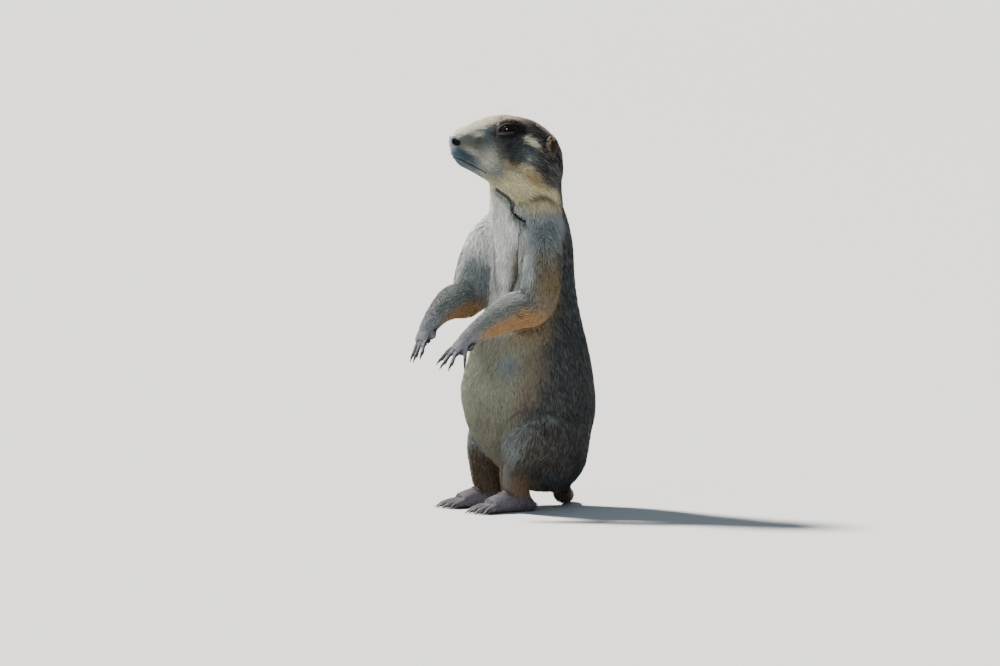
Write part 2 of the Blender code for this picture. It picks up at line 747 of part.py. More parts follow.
def add_mouth(head):
    """The lips, the line of the mouth between them, and the cleft up to the nose."""
    tree = BVHTree.FromPolygons([v.co for v in head.data.vertices],
                                [p.vertices for p in head.data.polygons])
    path = mouth_path(tree)
    middle = head_point(20 * MM, 0, 254 * MM)
    for lift in (LIP_SPREAD, -LIP_SPREAD):
        stations = []
        for point in path:
            inward = middle - point
            inward.z = 0
            stations.append((point + inward.normalized() * LIP_SUNK + UP * lift, LIP_THICK))
        boolean(head, tube("lip", stations, sides=8, steps=1), "UNION")
    boolean(head, tube("mouth", [(point, MOUTH_GROOVE) for point in path], sides=6, steps=1), "DIFFERENCE")
    cleft = [surface_point(tree, 0, 1, 13 * MM, height * MM) for height in CLEFT]
    boolean(head, tube("cleft", [(point, MOUTH_GROOVE) for point in cleft], sides=6, steps=1), "DIFFERENCE")


def add_eye(head, side, nodes):
    """The lids round an almond opening, the socket behind them, and the eyeball."""
    centre, _, _, _ = eye_frame(side)
    boolean(head, ball("lids", centre, [EYE_RADIUS + LID_THICK] * 3, sides=20), "UNION")
    boolean(head, almond_prism(side), "DIFFERENCE")
    rim = [centre + d * (EYE_RADIUS + RIM_OUT) for d in lid_outline(side)]
    boolean(head, ring_tube("rim", rim, RIM_THICK), "UNION")
    boolean(head, ball("socket", centre, [EYE_RADIUS + GAP] * 3, sides=20), "DIFFERENCE")
    eye = ball("eye", centre, [EYE_RADIUS] * 3, sides=16)
    finish_node(eye, f"eye_{SIDE_NAMES[side]}", "eye_gloss", nodes)


def make_head(head, nodes):
    """The head, with lids, lips and the pockets of the eyes, ears and nose."""
    turn = Matrix.Rotation(-HEAD_TURN, 3, "Z")
    add_mouth(head)
    for side in (1, -1):
        add_eye(head, side, nodes)
        ear_centre, ear_turn = ear_frame(side)
        pocket = [radius + GAP for radius in EAR_RADII]
        boolean(head, ball("ear_pocket", ear_centre, pocket, ear_turn, 14), "DIFFERENCE")
        make_ear(side, nodes)
    place = head_point(NOSE_BACK, 0, NOSE_HEIGHT)
    nose = boolean(copy_of(head, "nose"), ball("nose_region", place, NOSE_RADII, turn, 18), "INTERSECT")
    pocket = [radius + GAP for radius in NOSE_RADII]
    boolean(head, ball("nose_pocket", place, pocket, turn, 18), "DIFFERENCE")
    for side in (1, -1):
        hole = head_point(NOSTRIL_BACK, side * NOSTRIL_SIDE, NOSTRIL_HEIGHT)
        tilt = turn @ Matrix.Rotation(math.radians(-28), 3, "X")
        boolean(nose, ball("nostril", hole, NOSTRIL_RADII, tilt, 12), "DIFFERENCE")
    finish_node(head, "head", "crown", nodes)
    finish_node(nose, "nose", "nose_skin", nodes)


def ear_frame(side):
    """The ear's centre and its axes: outward, along the head, and up, leaning back."""
    centre = head_point(EAR_BACK, side * EAR_SIDE, EAR_HEIGHT)
    turn = Matrix.Rotation(-HEAD_TURN, 3, "Z") @ Matrix.Rotation(side * math.radians(22), 3, "Z")
    turn = turn @ Matrix.Rotation(math.radians(-18), 3, "X")
    return centre, turn @ Matrix.Rotation(side * math.radians(-10), 3, "Y")


def make_ear(side, nodes):
    """A low round ear with a cup that opens outward and forward."""
    centre, turn = ear_frame(side)
    ear = ball("ear", centre, EAR_RADII, turn, 14)
    cup = centre + turn @ Vector((side * CUP_OUT, -0.9 * MM, -0.6 * MM))
    boolean(ear, ball("cup", cup, CUP_RADII, turn, 12), "DIFFERENCE")
    finish_node(ear, f"ear_{SIDE_NAMES[side]}", "ear_skin", nodes)


def main():
    clear_scene()
    nodes = []
    body = body_form()
    cut = head_point(*HEAD_CUT)
    aim = turned(HEAD_TURN, 0, -HEAD_CUT_TILT, 1).normalized()
    head = sliced(thin_out(copy_of(body, "head"), HEAD_FACES), cut + aim * GAP / 2, aim)
    thin_out(body, BODY_FACES)
    sliced(body, cut - aim * GAP / 2, -aim)
    sliced(body, Vector((0, 0, 0)), UP)
    make_head(head, nodes)
    for side in (1, -1):
        part_arm(body, side, nodes)
        part_leg(body, side, nodes)
    tail = taken_out(body, tail_stations(), "tail")
    finish_node(tail, "tail", "tail_fur", nodes)
    neck = parted(body, "neck", Vector((0, 0, NECK_CUT)), UP)
    chest = parted(body, "chest", Vector((0, 0, CHEST_CUT)), UP)
    finish_node(neck, "neck", "throat", nodes)
    finish_node(chest, "chest", "breast", nodes)
    finish_node(body, "abdomen", "belly", nodes)
    stand_on_origin(nodes)


main()
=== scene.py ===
"""Looks of the standing prairie dog: skin, coat, eyes, claws, whiskers, floor, light and camera.

Metres, +Z up. The skin is one closed form, built from the same named sizes as the solids, and lies
inside them by the depth of the coat. The coat is solid tufts that follow the lie of the fur.
"""
import math

import bmesh
import bpy
import numpy as np
from mathutils import Matrix, Vector
from mathutils.bvhtree import BVHTree


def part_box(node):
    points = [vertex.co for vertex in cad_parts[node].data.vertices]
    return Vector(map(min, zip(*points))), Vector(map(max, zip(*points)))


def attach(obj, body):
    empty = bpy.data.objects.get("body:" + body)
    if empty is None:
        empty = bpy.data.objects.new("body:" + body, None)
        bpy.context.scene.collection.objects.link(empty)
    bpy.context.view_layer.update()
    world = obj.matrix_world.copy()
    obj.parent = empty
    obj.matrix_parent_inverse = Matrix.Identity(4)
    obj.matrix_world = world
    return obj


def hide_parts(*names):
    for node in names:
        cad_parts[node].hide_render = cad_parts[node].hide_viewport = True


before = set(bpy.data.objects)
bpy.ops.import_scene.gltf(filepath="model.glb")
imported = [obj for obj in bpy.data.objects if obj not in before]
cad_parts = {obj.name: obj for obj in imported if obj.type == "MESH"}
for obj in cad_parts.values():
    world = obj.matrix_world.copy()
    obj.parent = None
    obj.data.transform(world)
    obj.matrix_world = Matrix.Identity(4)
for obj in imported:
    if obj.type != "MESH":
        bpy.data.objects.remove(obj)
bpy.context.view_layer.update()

MM = 0.001
UP = Vector((0, 0, 1))
SIDE_NAMES = {1: "left", -1: "right"}
SHARE = 1.0

CAMERA_TURN = math.radians(50)
CAMERA_RISE = math.radians(4)
CAMERA_DISTANCE = 6.125
CAMERA_LENS = 300                # and the sensor's width, both in millimetres
CAMERA_SENSOR = 36
# In the picture, to the right of the axis and up, in millimetres: the camera's target and the nose tip.
TARGET_SEEN = (-20.6, 128.6)
NOSE_SEEN = -59.0

# Suns: how far to the right, towards the camera and up they stand; strength, spread in degrees, colour.
SUNS = {
    "key": ((-1.0, -0.75, 1.35), 15.0, 8, (1, 0.95, 0.87)),
    "fill": ((-0.35, 1.0, 0.5), 0.65, 50, (0.72, 0.87, 1)),
    "catch": ((-0.75, 1.0, 1.15), 2.0, 8, (1, 0.97, 0.92)),
}
SKY, SKY_STRENGTH = (0.7, 0.87, 1.0, 1), 0.3
FLOOR_GREY, FLOOR_ROUGHNESS = 0.52, 0.8

# Shape, as in the solids. Turns to the animal's right, of its hips, its chest and its head.
HIP_TURN = math.radians(14.0)
CHEST_TURN = math.radians(-6.0)
HEAD_TURN = math.radians(36.0)
# Heights in millimetres: the trunk has the turn of the hips up to the first, that of the chest from the
# second to the third, and that of the head from the fourth up.
TURN_HEIGHTS = (70, 160, 205, 245)

# Trunk sections: height, centre ahead of the axis, half width, half depth, all in millimetres.
TRUNK = [
    (12, -14, 19, 13), (20, -12, 31, 22), (30, -10, 40, 31), (42, -6, 44.5, 38), (54, -2.5, 47.5, 43.5),
    (66, -1.5, 49.5, 47.5), (78, -0.6, 51.5, 49.3), (89, 0.4, 50.5, 49.3), (101, -0.4, 49, 47),
    (114, -1.4, 46, 43.6), (126, -1.2, 42.5, 41.3), (139, -3.4, 37.5, 36.8), (154, -4.8, 34.5, 32),
    (169, -3.8, 33.5, 30.5), (184, -3.2, 33.5, 30), (196, -2.6, 32.5, 30), (209, -1.0, 30, 29.5),
    (222, 1.5, 28, 27.7), (236, 2.0, 27, 27), (250, 2.0, 24, 25), (262, 2.0, 18, 18),
]

# Head sections: distance behind the nose tip, top, bottom, half width, in millimetres.
HEAD = [
    (0.6, 274.6, 265.6, 4.4), (3, 277.3, 259, 7.7), (7, 279.2, 253.4, 9.6), (12, 281.2, 250.2, 11.2),
    (18, 284.2, 246.8, 13), (25, 287.2, 242.6, 15.5), (32, 289, 237.8, 19), (40, 289.6, 232.6, 23),
    (48, 289, 229, 26.4), (56, 287.4, 227.5, 28.4), (64, 284.6, 228, 28.8), (72, 279.6, 230.5, 27),
    (79, 272.6, 234.5, 22.5), (84, 262.5, 240, 15.5),
]
NOSE_AHEAD = 57.5 * MM
NECK_AHEAD = 1.5 * MM
# Round masses of the head: distance behind the nose tip, to the side, height and half sizes.
HEAD_MASSES = [
    ("cheek", 55, 15, 246, (13.5, 17, 15)),
    ("brow", 45, 12, 281, (8, 11, 6)),
    ("whisker_pad", 10, 5.2, 262.5, (6, 8, 6)),
    ("temple", 60, 15.5, 266, (11.5, 15, 14)),
]
EYE_BACK, EYE_SIDE, EYE_HEIGHT = 43.4 * MM, 15.4 * MM, 277.3 * MM
EYE_RADIUS = 6.6 * MM
CORNEA = 0.25 * MM               # its swelling over the ball
PUPIL_EDGE = (2.1, 2.7)          # where the pupil goes over into the iris, in millimetres
IRIS_EDGE = (4.4, 5.4)
EYE_LOOK = math.radians(12.0)
EYE_RISE = math.radians(14.0)
LID_HALF_LENGTH = 6.1 * MM
LID_HALF_HEIGHT = 4.5 * MM
LOWER_LID = 0.72                 # its half height, against the upper one
# Rings of a lid: size against the opening, and the number of steps round it.
LID_RINGS = [0.9, 0.96, 1.0, 1.05, 1.12, 1.22, 1.34, 1.46, 1.6, 1.76, 1.95]
LID_STEPS = 72
LID_TUCK = 0.35 * MM             # how far its outer edge lies under the skin
LID_CREASE = 0.45 * MM           # the depth of its crease, its place among the rings and its width there
CREASE_AT, CREASE_WIDE = 1.4, 0.09
EYE_RINGS, EYE_SPOKES = 28, 56
EAR_BACK, EAR_SIDE, EAR_HEIGHT = 74.0 * MM, 23.0 * MM, 268.0 * MM
EAR_RADII = (3.6 * MM, 6.6 * MM, 8.4 * MM)
CUP_OUT = 3.2 * MM
CUP_RADII = (3.4 * MM, 4.6 * MM, 5.9 * MM)
# Whiskers: behind the nose tip, height and length. The first are four rows of five on the pads of the
# muzzle, and the others stand over the eyes and on the cheeks.
WHISKERS = [(6 + 3.2 * column + 0.8 * row, 257.5 + 3.1 * row - 0.25 * column, 15 + 4.2 * column)
            for row in range(4) for column in range(5)]
WHISKERS += [(37, 287, 12), (40, 287.6, 14), (38, 262, 13), (42, 258, 12)]
WHISKER_RINGS, WHISKER_SIDES = 9, 5
WHISKER_RADIUS, WHISKER_TAPER = 0.085, 0.8
# Line of the mouth: degrees from straight ahead, the turn's middle behind the nose tip, and height.
MOUTH = [(0, 13, 259.8), (28, 13, 259.2), (58, 13, 257.4), (90, 13, 254.9), (90, 18, 252.4),
         (90, 23, 249.8), (90, 27, 247.6)]

# Arms, in the chest's frame: to the side, back, height and radius, in millimetres. 1 is the left.
ARM = {
    1: [(24, -6, 204, 10), (29, -13, 189, 14), (32.5, -20, 170, 15), (32.5, -26, 152, 14),
        (24, -38, 148.5, 14), (15.5, -51, 141, 11), (8.5, -60.5, 134, 8.4), (4, -66, 129, 6.6),
        (2.5, -68.5, 126.5, 6.1)],
    -1: [(25, -9, 208, 11), (30, -16, 193, 14), (33, -23, 172, 14.5), (33, -29, 154, 13.5),
         (30.5, -46, 153, 13), (28.5, -61, 147.5, 9.8), (27.5, -70.5, 141.5, 7.7), (27, -76.5, 136.5, 6.6),
         (26.8, -79, 134, 6.1)],
}
FINGERTIP = {1: (-5.2, -85.0, 110.5), -1: (24, -95.0, 114.8)}
# Palm sections, from inside the wrist: distance along, half width and half height.
PALM = [(0, 6.3, 6.3), (5, 6.1, 5.9), (10, 6.2, 5.2), (16, 6.7, 4.3), (19.5, 6.0, 3.2)]
PALM_INSET = 5.0 * MM
PALM_LENGTH = 14.0 * MM
HEEL_PAD = (5.0 * MM, 5.6 * MM, 4.6 * MM)
HEEL_DROP = 4.8 * MM
PALM_PADS = (-4.4, -1.4, 1.6, 4.4)
PALM_PAD = (1.7 * MM, 2.2 * MM, 1.6 * MM)
PAD_AHEAD, PAD_DROP = 12.2, 2.6
# Fingers: fan and droop in degrees, length, distance from the middle line, and set back.
FINGERS = [(-4, 0, 11.4, -4.5, 0.4), (5, 2, 12.6, -1.5, 0), (14, 9, 11.2, 1.6, 0.8), (20, 34, 9.4, 4.3, 5.6)]
FINGER_RADIUS = 2.0 * MM
FINGER_ROOT = 3.0
THUMB_LENGTH = 4.0 * MM
HAND_CLAW = 7.6 * MM
CLAW_RADIUS = 1.25 * MM
CLAW_SUNK = 1.6 * MM
CLAW_RINGS, CLAW_SIDES = 12, 14
CLAW_TAPER, CLAW_TAPER_POWER = 0.86, 1.35
CLAW_LIFT, CLAW_DROP = 0.5, 0.22  # of the root in millimetres, and of the tip as a share of the length
CLAW_KEEL = 0.12

# Legs, in the hips' frame: to the side, back, height and radius, in millimetres.
LEG = [(26, 12, 63, 24), (31.5, 2, 58, 25), (32.5, -10, 53.5, 21.8), (29.5, -18.5, 44, 16.5),
       (25.5, -22.5, 30, 12.4), (23.4, -22, 17, 10.4), (22.8, -19, 11, 9.3)]
FOOT_SIDE = 23 * MM
HEEL_BACK = -8.0 * MM
FOOT_TURN = math.radians(4.0)
# Foot sections, from the heel: distance along, half width and half height. Toes: fan angle in degrees,
# length and distance from the middle line.
FOOT = [(0, 5.2, 5.5), (6, 6.8, 7.2), (16, 8.4, 8.6), (27, 9.2, 7.4), (36, 9.6, 5.8)]
TOES = [(-20, 8.5, -7.2), (-9, 11.5, -4.0), (0, 12.8, -0.2), (9, 11.8, 3.7), (21, 8.8, 7.0)]
TOE_RADIUS = 2.7 * MM
TOE_ROOT = 4.0
FOOT_CLAW = 7.0 * MM
# Tail, in the hips' frame: to the side, back, height and radius.
TAIL = [(0, 25, 42, 10), (0, 27.5, 30, 9.8), (-0.5, 27, 19, 8.8), (-3.5, 29.5, 10.8, 7.6),
        (-12, 35.5, 7.2, 7), (-23, 43, 6.3, 6.3), (-32, 48, 5.2, 4.7), (-35.5, 49.5, 4.2, 2.6)]

# Fingers and toes: radius, its shares at the root, middle and tip, arch and curl, and of the knuckles
# the places, size and lift, and how far a claw points up.
DIGITS = {
    "finger": (FINGER_RADIUS * 0.93, (1.02, 0.9, 0.82), 0.8 * MM, 0.7 * MM, (0.42, 0.9), 0.96, 0.25, 0.1),
    "toe": (TOE_RADIUS * 0.94, (1.08, 0.9, 0.84), 1.2 * MM, 0.9 * MM, (0.5, 0.92), 0.97, 0.35, -0.22),
}

# Middle of a thigh's outline, to the side, back and height, and the radius of the painted highlight along
# its ridge.
THIGH_AT = (33, -8, 52)
THIGH_RIM = 20.5

# Skin.
SKIN_VOXEL = 0.62 * MM
BODY_SMOOTHING = 30
JOIN_SMOOTHING = 4
FLOOR_CLEAR = 0.15 * MM
SKIN_TRIANGLES = 190000
LIP_AT, LIP_RISE, LIP_WIDE = 1.5, 0.55, 0.9   # from the line of the mouth, in millimetres
MOUTH_DEEP, MOUTH_WIDE = 1.5, 0.55
NOSTRIL_DEEP, NOSTRIL_WIDE = 2.2, 0.8
PARTING_DEEP, PARTING_WIDE = 1.5, 1.5
LINE_REACH = 6.0                 # within which the distance to a line is worked out, in millimetres
# Swellings of the face: behind the nose tip, to the side, height, half sizes and amount, in millimetres.
FACE = [
    (9, 6.5, 260.5, (4, 6, 4.5), 0.9),      # whisker pads
    (20, 10, 258, (5, 3.5, 7), -0.7),       # crease behind them
    (6, 0, 262, (1.1, 6, 4), -0.7),         # cleft between the pads
    (34, 13, 275, (5, 6, 4), -1.3),         # hollow in front of the eye
    (45, 15, 286, (5, 9, 3), 0.8),          # brow
    (46, 21, 268.5, (6, 8, 2.2), -0.6),     # fold under the eye
    (50, 25, 261, (6, 9, 6), 0.9),          # cheekbone
    (11, 3, 252.5, (5, 6, 3), 0.5),         # chin
    (57, 19, 272, (5, 4, 5), -0.7),         # temple
    (67, 23, 266, (5, 3, 7), -0.8),         # hollow in front of the ear
    (3.5, 5.4, 272.6, (2.0, 2.6, 1.8), 0.5),  # nostril wings
]
# A nostril's slit: behind the nose tip, and height.
NOSTRIL = [(3.8, 270.3), (4.7, 269.6), (5.7, 269.3), (6.4, 269.2)]

# The coat's sizes in millimetres and its tufts to the square millimetre: on the body, by the distance
# behind the nose tip, by the share along an arm and along a leg, and on the tail.
ARM_SHARES = (0, 0.4, 0.62, 0.76, 0.84, 1)
LEG_SHARES = (0, 0.45, 0.6, 0.7, 0.8, 1)
COAT = {
    "depth": (2.6, [(0, 0.12), (6, 0.3), (14, 0.55), (28, 0.8), (42, 1.2), (58, 1.9), (72, 2.3), (84, 2.5)],
              (2.4, 2.2, 1.5, 0.8, 0.4, 0.25), (2.5, 2.0, 1.2, 0.6, 0.4, 0.25), 2.6),
    "length": (9.0, [(0, 0.9), (8, 1.5), (18, 2.3), (30, 3.2), (42, 4.2), (56, 6.0), (72, 8.0), (84, 9.0)],
               (8.0, 7.0, 5.2, 3.2, 1.7, 1.0), (8.5, 6.5, 4.2, 2.4, 1.6, 1.0), 8.5),
    "width": (0.64, [(0, 0.3), (10, 0.36), (24, 0.44), (40, 0.52), (56, 0.6), (72, 0.7), (84, 0.74)],
              (0.72, 0.68, 0.6, 0.5, 0.38, 0.32), (0.74, 0.68, 0.6, 0.48, 0.4, 0.34), 0.8),
    "density": (1.45, [(0, 6.5), (12, 5.0), (26, 3.8), (40, 3.0), (56, 2.1), (72, 1.5), (84, 1.25)],
                (1.2, 1.35, 1.9, 2.8, 3.8, 4.4), (1.1, 1.3, 1.9, 3.0, 3.6, 4.0), 1.3),
}
TUFT_UNWRAP = 0.0014             # half of a tuft's width on the unwrap
# The pieces of the coat, with the slot of each one's finish.
PIECES = {
    "face_left": "crown", "face_right": "crown", "head_left": "crown", "head_right": "crown",
    "neck_left": "throat", "neck_right": "throat", "chest_front": "breast", "chest_back": "breast",
    "belly_front_left": "belly", "belly_front_right": "belly", "back_left": "belly", "back_right": "belly",
    "rump": "belly", "loins": "belly", "arm_left": "arm_fur", "arm_right": "arm_fur",
    "leg_left": "leg_fur", "leg_right": "leg_fur", "tail_coat": "tail_fur",
}
# The solids that the skin takes the place of.
FLESH = ["head", "nose", "ear_left", "ear_right", "neck", "chest", "abdomen", "tail"]
FLESH += [f"{name}_{side}" for name in ("upper_arm", "forearm", "hand", "thigh", "shank", "foot")
          for side in ("left", "right")]

# Lines of the coat, as they are seen from the camera's side: to the right of the axis and up, in
# millimetres. The partings of the throat, the fold in front of the near arm, and the edge of the thigh.
PARTINGS = [
    [(-23, 233.5), (-21.7, 232.4), (-15.1, 227.8), (-11.8, 223.8)],
    [(-10.1, 225.1), (-4.3, 227.5), (3.5, 229.9), (10.4, 230.4), (16.2, 228.4), (20, 226)],
    [(-11.8, 223.8), (-11.4, 218.5), (-7.8, 213.9), (-3.2, 210.9)],
]
# The partings are painted shade in the gaps where the fur parts; the second is a brown painted shadow under
# the cheek fur.
PARTING_DARK = [0.85, 0.3, 1.0]  # how dark and deep each parting is
PARTING_THICK = (4, 16)          # where the second one is thick and brown, to the right of the axis
ARM_FOLD = [(-4.5, 208), (-6.6, 198), (-7.3, 186), (-7.2, 172), (-11, 163)]
ARM_FOLD_DEEP, ARM_FOLD_WIDE = (0.8, 0.6), 2.0   # on the left and on the right
THIGH_FOLD_DEEP, THIGH_FOLD_WIDE = 2.0, 2.6
THIGH_FOLD = [(-20.5, 44), (-20, 50), (-17.3, 62), (-10.3, 71), (-1.9, 75.5), (8, 75.5), (16, 72)]


def linear(red, green, forearm_shadow):
    """A screen colour from 0 to 255 as linear light."""
    return np.array([((c / 255 + 0.055) / 1.055) ** 2.4 if c > 10 else c / 255 / 12.92
                     for c in (red, green, forearm_shadow)])


# Colours of the coat and the bare skin; some stand for painted light or shade, as noted where they are used.
BREAST = linear(222, 224, 222)
BREAST_SHADE = linear(120, 130, 135)
SIDE_TAN = linear(122, 117, 104)
ARM_BROWN = linear(124, 107, 80)
THROAT = linear(204, 195, 156)
NECK_BUFF = linear(186, 170, 128)
BELLY = linear(132, 133, 119)
BELLY_LOW = linear(107, 107, 93)
# Painted shadow of the near forearm on the belly.
BELLY_SHADOW_BLUE = linear(104, 122, 142)
FLANK = linear(144, 114, 72)
FLANK_LOW = linear(112, 96, 80)
BACK_DARK = linear(27, 28, 33)
BACK_PALE = linear(114, 112, 106)
BACK_MEAN = linear(45, 54, 64)
BACK_LOW = linear(64, 68, 72)
CROWN = linear(234, 208, 192)
FOREHEAD = linear(248, 236, 216)
CHEEK = linear(200, 192, 160)
FACE_GREY = linear(102, 114, 120)
FACE_DARK = linear(22, 23, 27)
SPOT = linear(232, 228, 206)
# Blue-grey: partly dark skin and hair, partly painted shade, on the lips and on the sides of the arms.
BLUE_DARK_AND_SHADE = linear(60, 80, 98)
MUZZLE_GOLD = linear(116, 118, 100)
ORANGE = linear(170, 130, 84)
ARM_GREY = linear(120, 125, 123)
# Painted shade on the inner side of the upper arms.
ARM_INNER_SHADE = linear(112, 121, 126)
HAND_PALE = linear(143, 144, 152)
PAD_DARK = linear(34, 32, 35)
THIGH = linear(57, 50, 45)
SHANK = linear(114, 90, 70)
# Painted shade on the inner side of the legs.
LEG_INNER_SHADE = linear(72, 58, 42)
LEG_FRONT = linear(128, 137, 137)
FOOT_TOP = linear(118, 112, 121)
TAIL_BROWN = linear(84, 66, 54)
TAIL_TIP = linear(24, 21, 20)
NOSE = linear(112, 116, 124)
LID = linear(15, 12, 12)
EAR_INNER = linear(66, 54, 44)
EAR_PALE = linear(150, 132, 100)
EAR_RIM = linear(62, 54, 50)

# The dark of the side of the head, as the picture shows it: how far back, its lower and its upper edge.
# Partly dark fur, partly painted shade on the side of the head turned from the sun.
SIDE_DARK_AND_SHADE = [(22, 273, 279), (33.3, 265.5, 281), (41.6, 256, 283.8), (47.5, 251.3, 284.4), (55.8, 254.8, 283),
        (60.5, 250, 281.4), (65.2, 244.2, 279), (71.2, 241, 275.5), (79.4, 238, 269), (86, 236, 262)]
# Lower edge of the pale forehead, in the same way.
FOREHEAD_EDGE = [(0, 270), (9.7, 273.5), (18, 275.5), (24, 278.5), (30, 281), (40, 283.5), (60, 286)]
# Edge of the dark back: heights in millimetres, and degrees from straight ahead.
BACK_EDGE = [(40, 58), (60, 55), (75, 62), (96, 72), (124, 70), (145, 74), (160, 80), (175, 74), (190, 71),
             (200, 90), (212, 118), (230, 140)]
# Marks of the face: strength, how far back, height, half sizes, tilt in degrees, and how firm the edge is.
# The dark marks are partly dark fur and partly painted shade.
DARK_AND_SHADE_MARKS = [
    (0.5, 24, 268.0, 7, 3.0, 4),              # along the muzzle
    (1, 45, 277, 11, 7.0, 4, 4),              # round the eye
    (1, 42, 264.5, 8.0, 9.0, 25, 3),          # below the eye
    (1, 38.5, 260.5, 5.2, 8.0, 22, 3),
    (0.95, 45.5, 256, 8.0, 3.6, 62, 3),       # down the cheek
    (1, 62.5, 278.6, 12.5, 3.0, 33, 3),       # behind the brow
    (0.95, 75.5, 267.5, 6.5, 7.5, 0, 3),      # round the ear
    (0.9, 73, 249, 14, 8.5, 35, 3),           # behind the cheek
]
GOLD_MARKS = [(0.8, 61, 242, 10, 4.5, 32), (0.6, 43, 251.5, 6, 3.5, 20)]
PALE_MARKS = [
    (1, 58.8, 268.8, 6.2, 2.7, 26, 3),        # spot behind the eye
    (0.3, 56.8, 256.3, 2.4, 1.8, 20, 3),
    (0.85, 21.6, 273.5, 3.6, 1.7, -12, 3),    # spot on the muzzle
]
# Partly dark lips, partly painted shade on the upper lip and under the mouth.
LIP_SHADE_MARKS = [(1, 11.5, 258.6, 8.0, 4.8, 30, 4), (1, 20, 252.5, 6, 2.6, 30, 4)]


# Forms.


def new_object(name, data):
    obj = bpy.data.objects.new(name, data)
    bpy.context.scene.collection.objects.link(obj)
    return obj


def from_bmesh(name, shape):
    bmesh.ops.recalc_face_normals(shape, faces=shape.faces)
    mesh = bpy.data.meshes.new(name)
    shape.to_mesh(mesh)
    shape.free()
    return new_object(name, mesh)


def turned(turn, side, back, height):
    return Matrix.Rotation(-turn, 3, "Z") @ Vector((side, back, height))


def head_point(back, side, height):
    return turned(HEAD_TURN, side, back - NOSE_AHEAD, height) + Vector((0, -NECK_AHEAD, 0))


def smooth_rows(rows, steps):
    """Rows of numbers joined by a Catmull-Rom curve, with steps rows for each gap."""
    ends = [rows[0]] + list(rows) + [rows[-1]]
    out = []
    for a, b, c, d in zip(ends, ends[1:], ends[2:], ends[3:]):
        for step in range(steps):
            t = step / steps
            out.append(tuple(
                0.5 * (2 * q + (r - p) * t + (2 * p - 5 * q + 4 * r - s) * t * t
                       + (3 * q - p - 3 * r + s) * t ** 3)
                for p, q, r, s in zip(a, b, c, d)))
    out.append(tuple(rows[-1]))
    return out


def smooth_line(line):
    """A line of points and radii, joined by a smooth curve."""
    rows = smooth_rows([(*point, radius) for point, radius in line], 5)
    return [(Vector(row[:3]), row[3]) for row in rows]


def circle(count):
    """The cosine and sine of angles spread evenly over one turn."""
    angles = [2 * math.pi * i / count for i in range(count)]
    return [(math.cos(a), math.sin(a)) for a in angles]


def loft(name, rings, sides=48):
    """A closed form through rings, each a centre, two directions and two half widths."""
    shape = bmesh.new()
    loops = []
    for centre, across, along, half_across, half_along in rings:
        loops.append([shape.verts.new(centre + across * half_across * cos + along * half_along * sin)
                      for cos, sin in circle(sides)])
    for lower, upper in zip(loops, loops[1:]):
        for i in range(sides):
            shape.faces.new((lower[i - 1], lower[i], upper[i], upper[i - 1]))
    shape.faces.new(loops[0])
    shape.faces.new(loops[-1])
    return from_bmesh(name, shape)


def ball(name, centre, radii, turn=None, sides=32):
    shape = bmesh.new()
    place = Matrix.Translation(centre) @ (turn or Matrix()).to_4x4() @ Matrix.Diagonal((*radii, 1))
    bmesh.ops.create_uvsphere(shape, u_segments=sides, v_segments=sides // 2, radius=1, matrix=place)
    return from_bmesh(name, shape)


def tube(name, line, sides=28):
    """A round limb along a line of points and radii, with domed ends."""
    line = smooth_line(line)
    points = [point for point, _ in line]
    rings = []
    across = None
    for i, point in enumerate(points):
        ahead = points[min(i + 1, len(points) - 1)] - points[max(i - 1, 0)]
        ahead.normalize()
        if across is None:
            across = ahead.orthogonal().normalized()
        across = (across - ahead * across.dot(ahead)).normalized()
        radius = line[i][1]
        rings.append((point, across.copy(), ahead.cross(across), radius, radius))
    start = end_rings(rings[0], points[0] - points[1])[::-1]
    return loft(name, start + rings + end_rings(rings[-1], points[-1] - points[-2]), sides)


def end_rings(ring, outward):
    """The rings of a limb's domed end, from its last ring outwards."""
    point, across, along, radius, _ = ring
    outward = outward.normalized()
    angles = [math.radians(angle) for angle in (25, 48, 68, 84)]
    return [(point + outward * radius * math.sin(a), across, along,
             radius * math.cos(a), radius * math.cos(a)) for a in angles]


def settle(obj):
    graph = bpy.context.evaluated_depsgraph_get()
    mesh = bpy.data.meshes.new_from_object(obj.evaluated_get(graph))
    obj.modifiers.clear()
    obj.data = mesh
    return obj


def fuse(name, pieces, voxel, smoothing):
    """Joins overlapping closed pieces into one closed form and smooths where they meet."""
    shape = bmesh.new()
    for piece in pieces:
        shape.from_mesh(piece.data)
        bpy.data.objects.remove(piece)
    form = from_bmesh(name, shape)
    remesh = form.modifiers.new("Remesh", "REMESH")
    remesh.mode = "VOXEL"
    remesh.voxel_size = voxel
    smooth = form.modifiers.new("Smooth", "SMOOTH")
    smooth.factor = 0.5
    smooth.iterations = smoothing
    return settle(form)


def trunk_turn(height):
    hips, chest, nape, crown = (level * MM for level in TURN_HEIGHTS)
    if height < hips:
        return HIP_TURN
    if height < chest:
        return HIP_TURN + (CHEST_TURN - HIP_TURN) * (height - hips) / (chest - hips)
    if height < nape:
        return CHEST_TURN
    rise = min(1.0, (height - nape) / (crown - nape))
    return CHEST_TURN + (HEAD_TURN - CHEST_TURN) * rise


def trunk_piece():
    rings = []
    for height, ahead, half_width, half_depth in smooth_rows(TRUNK, 4):
        turn = trunk_turn(height * MM)
        rings.append((turned(turn, 0, -ahead * MM, height * MM), turned(turn, 1, 0, 0),
                      turned(turn, 0, 1, 0), half_width * MM, half_depth * MM))
    return loft("trunk", rings, 64)


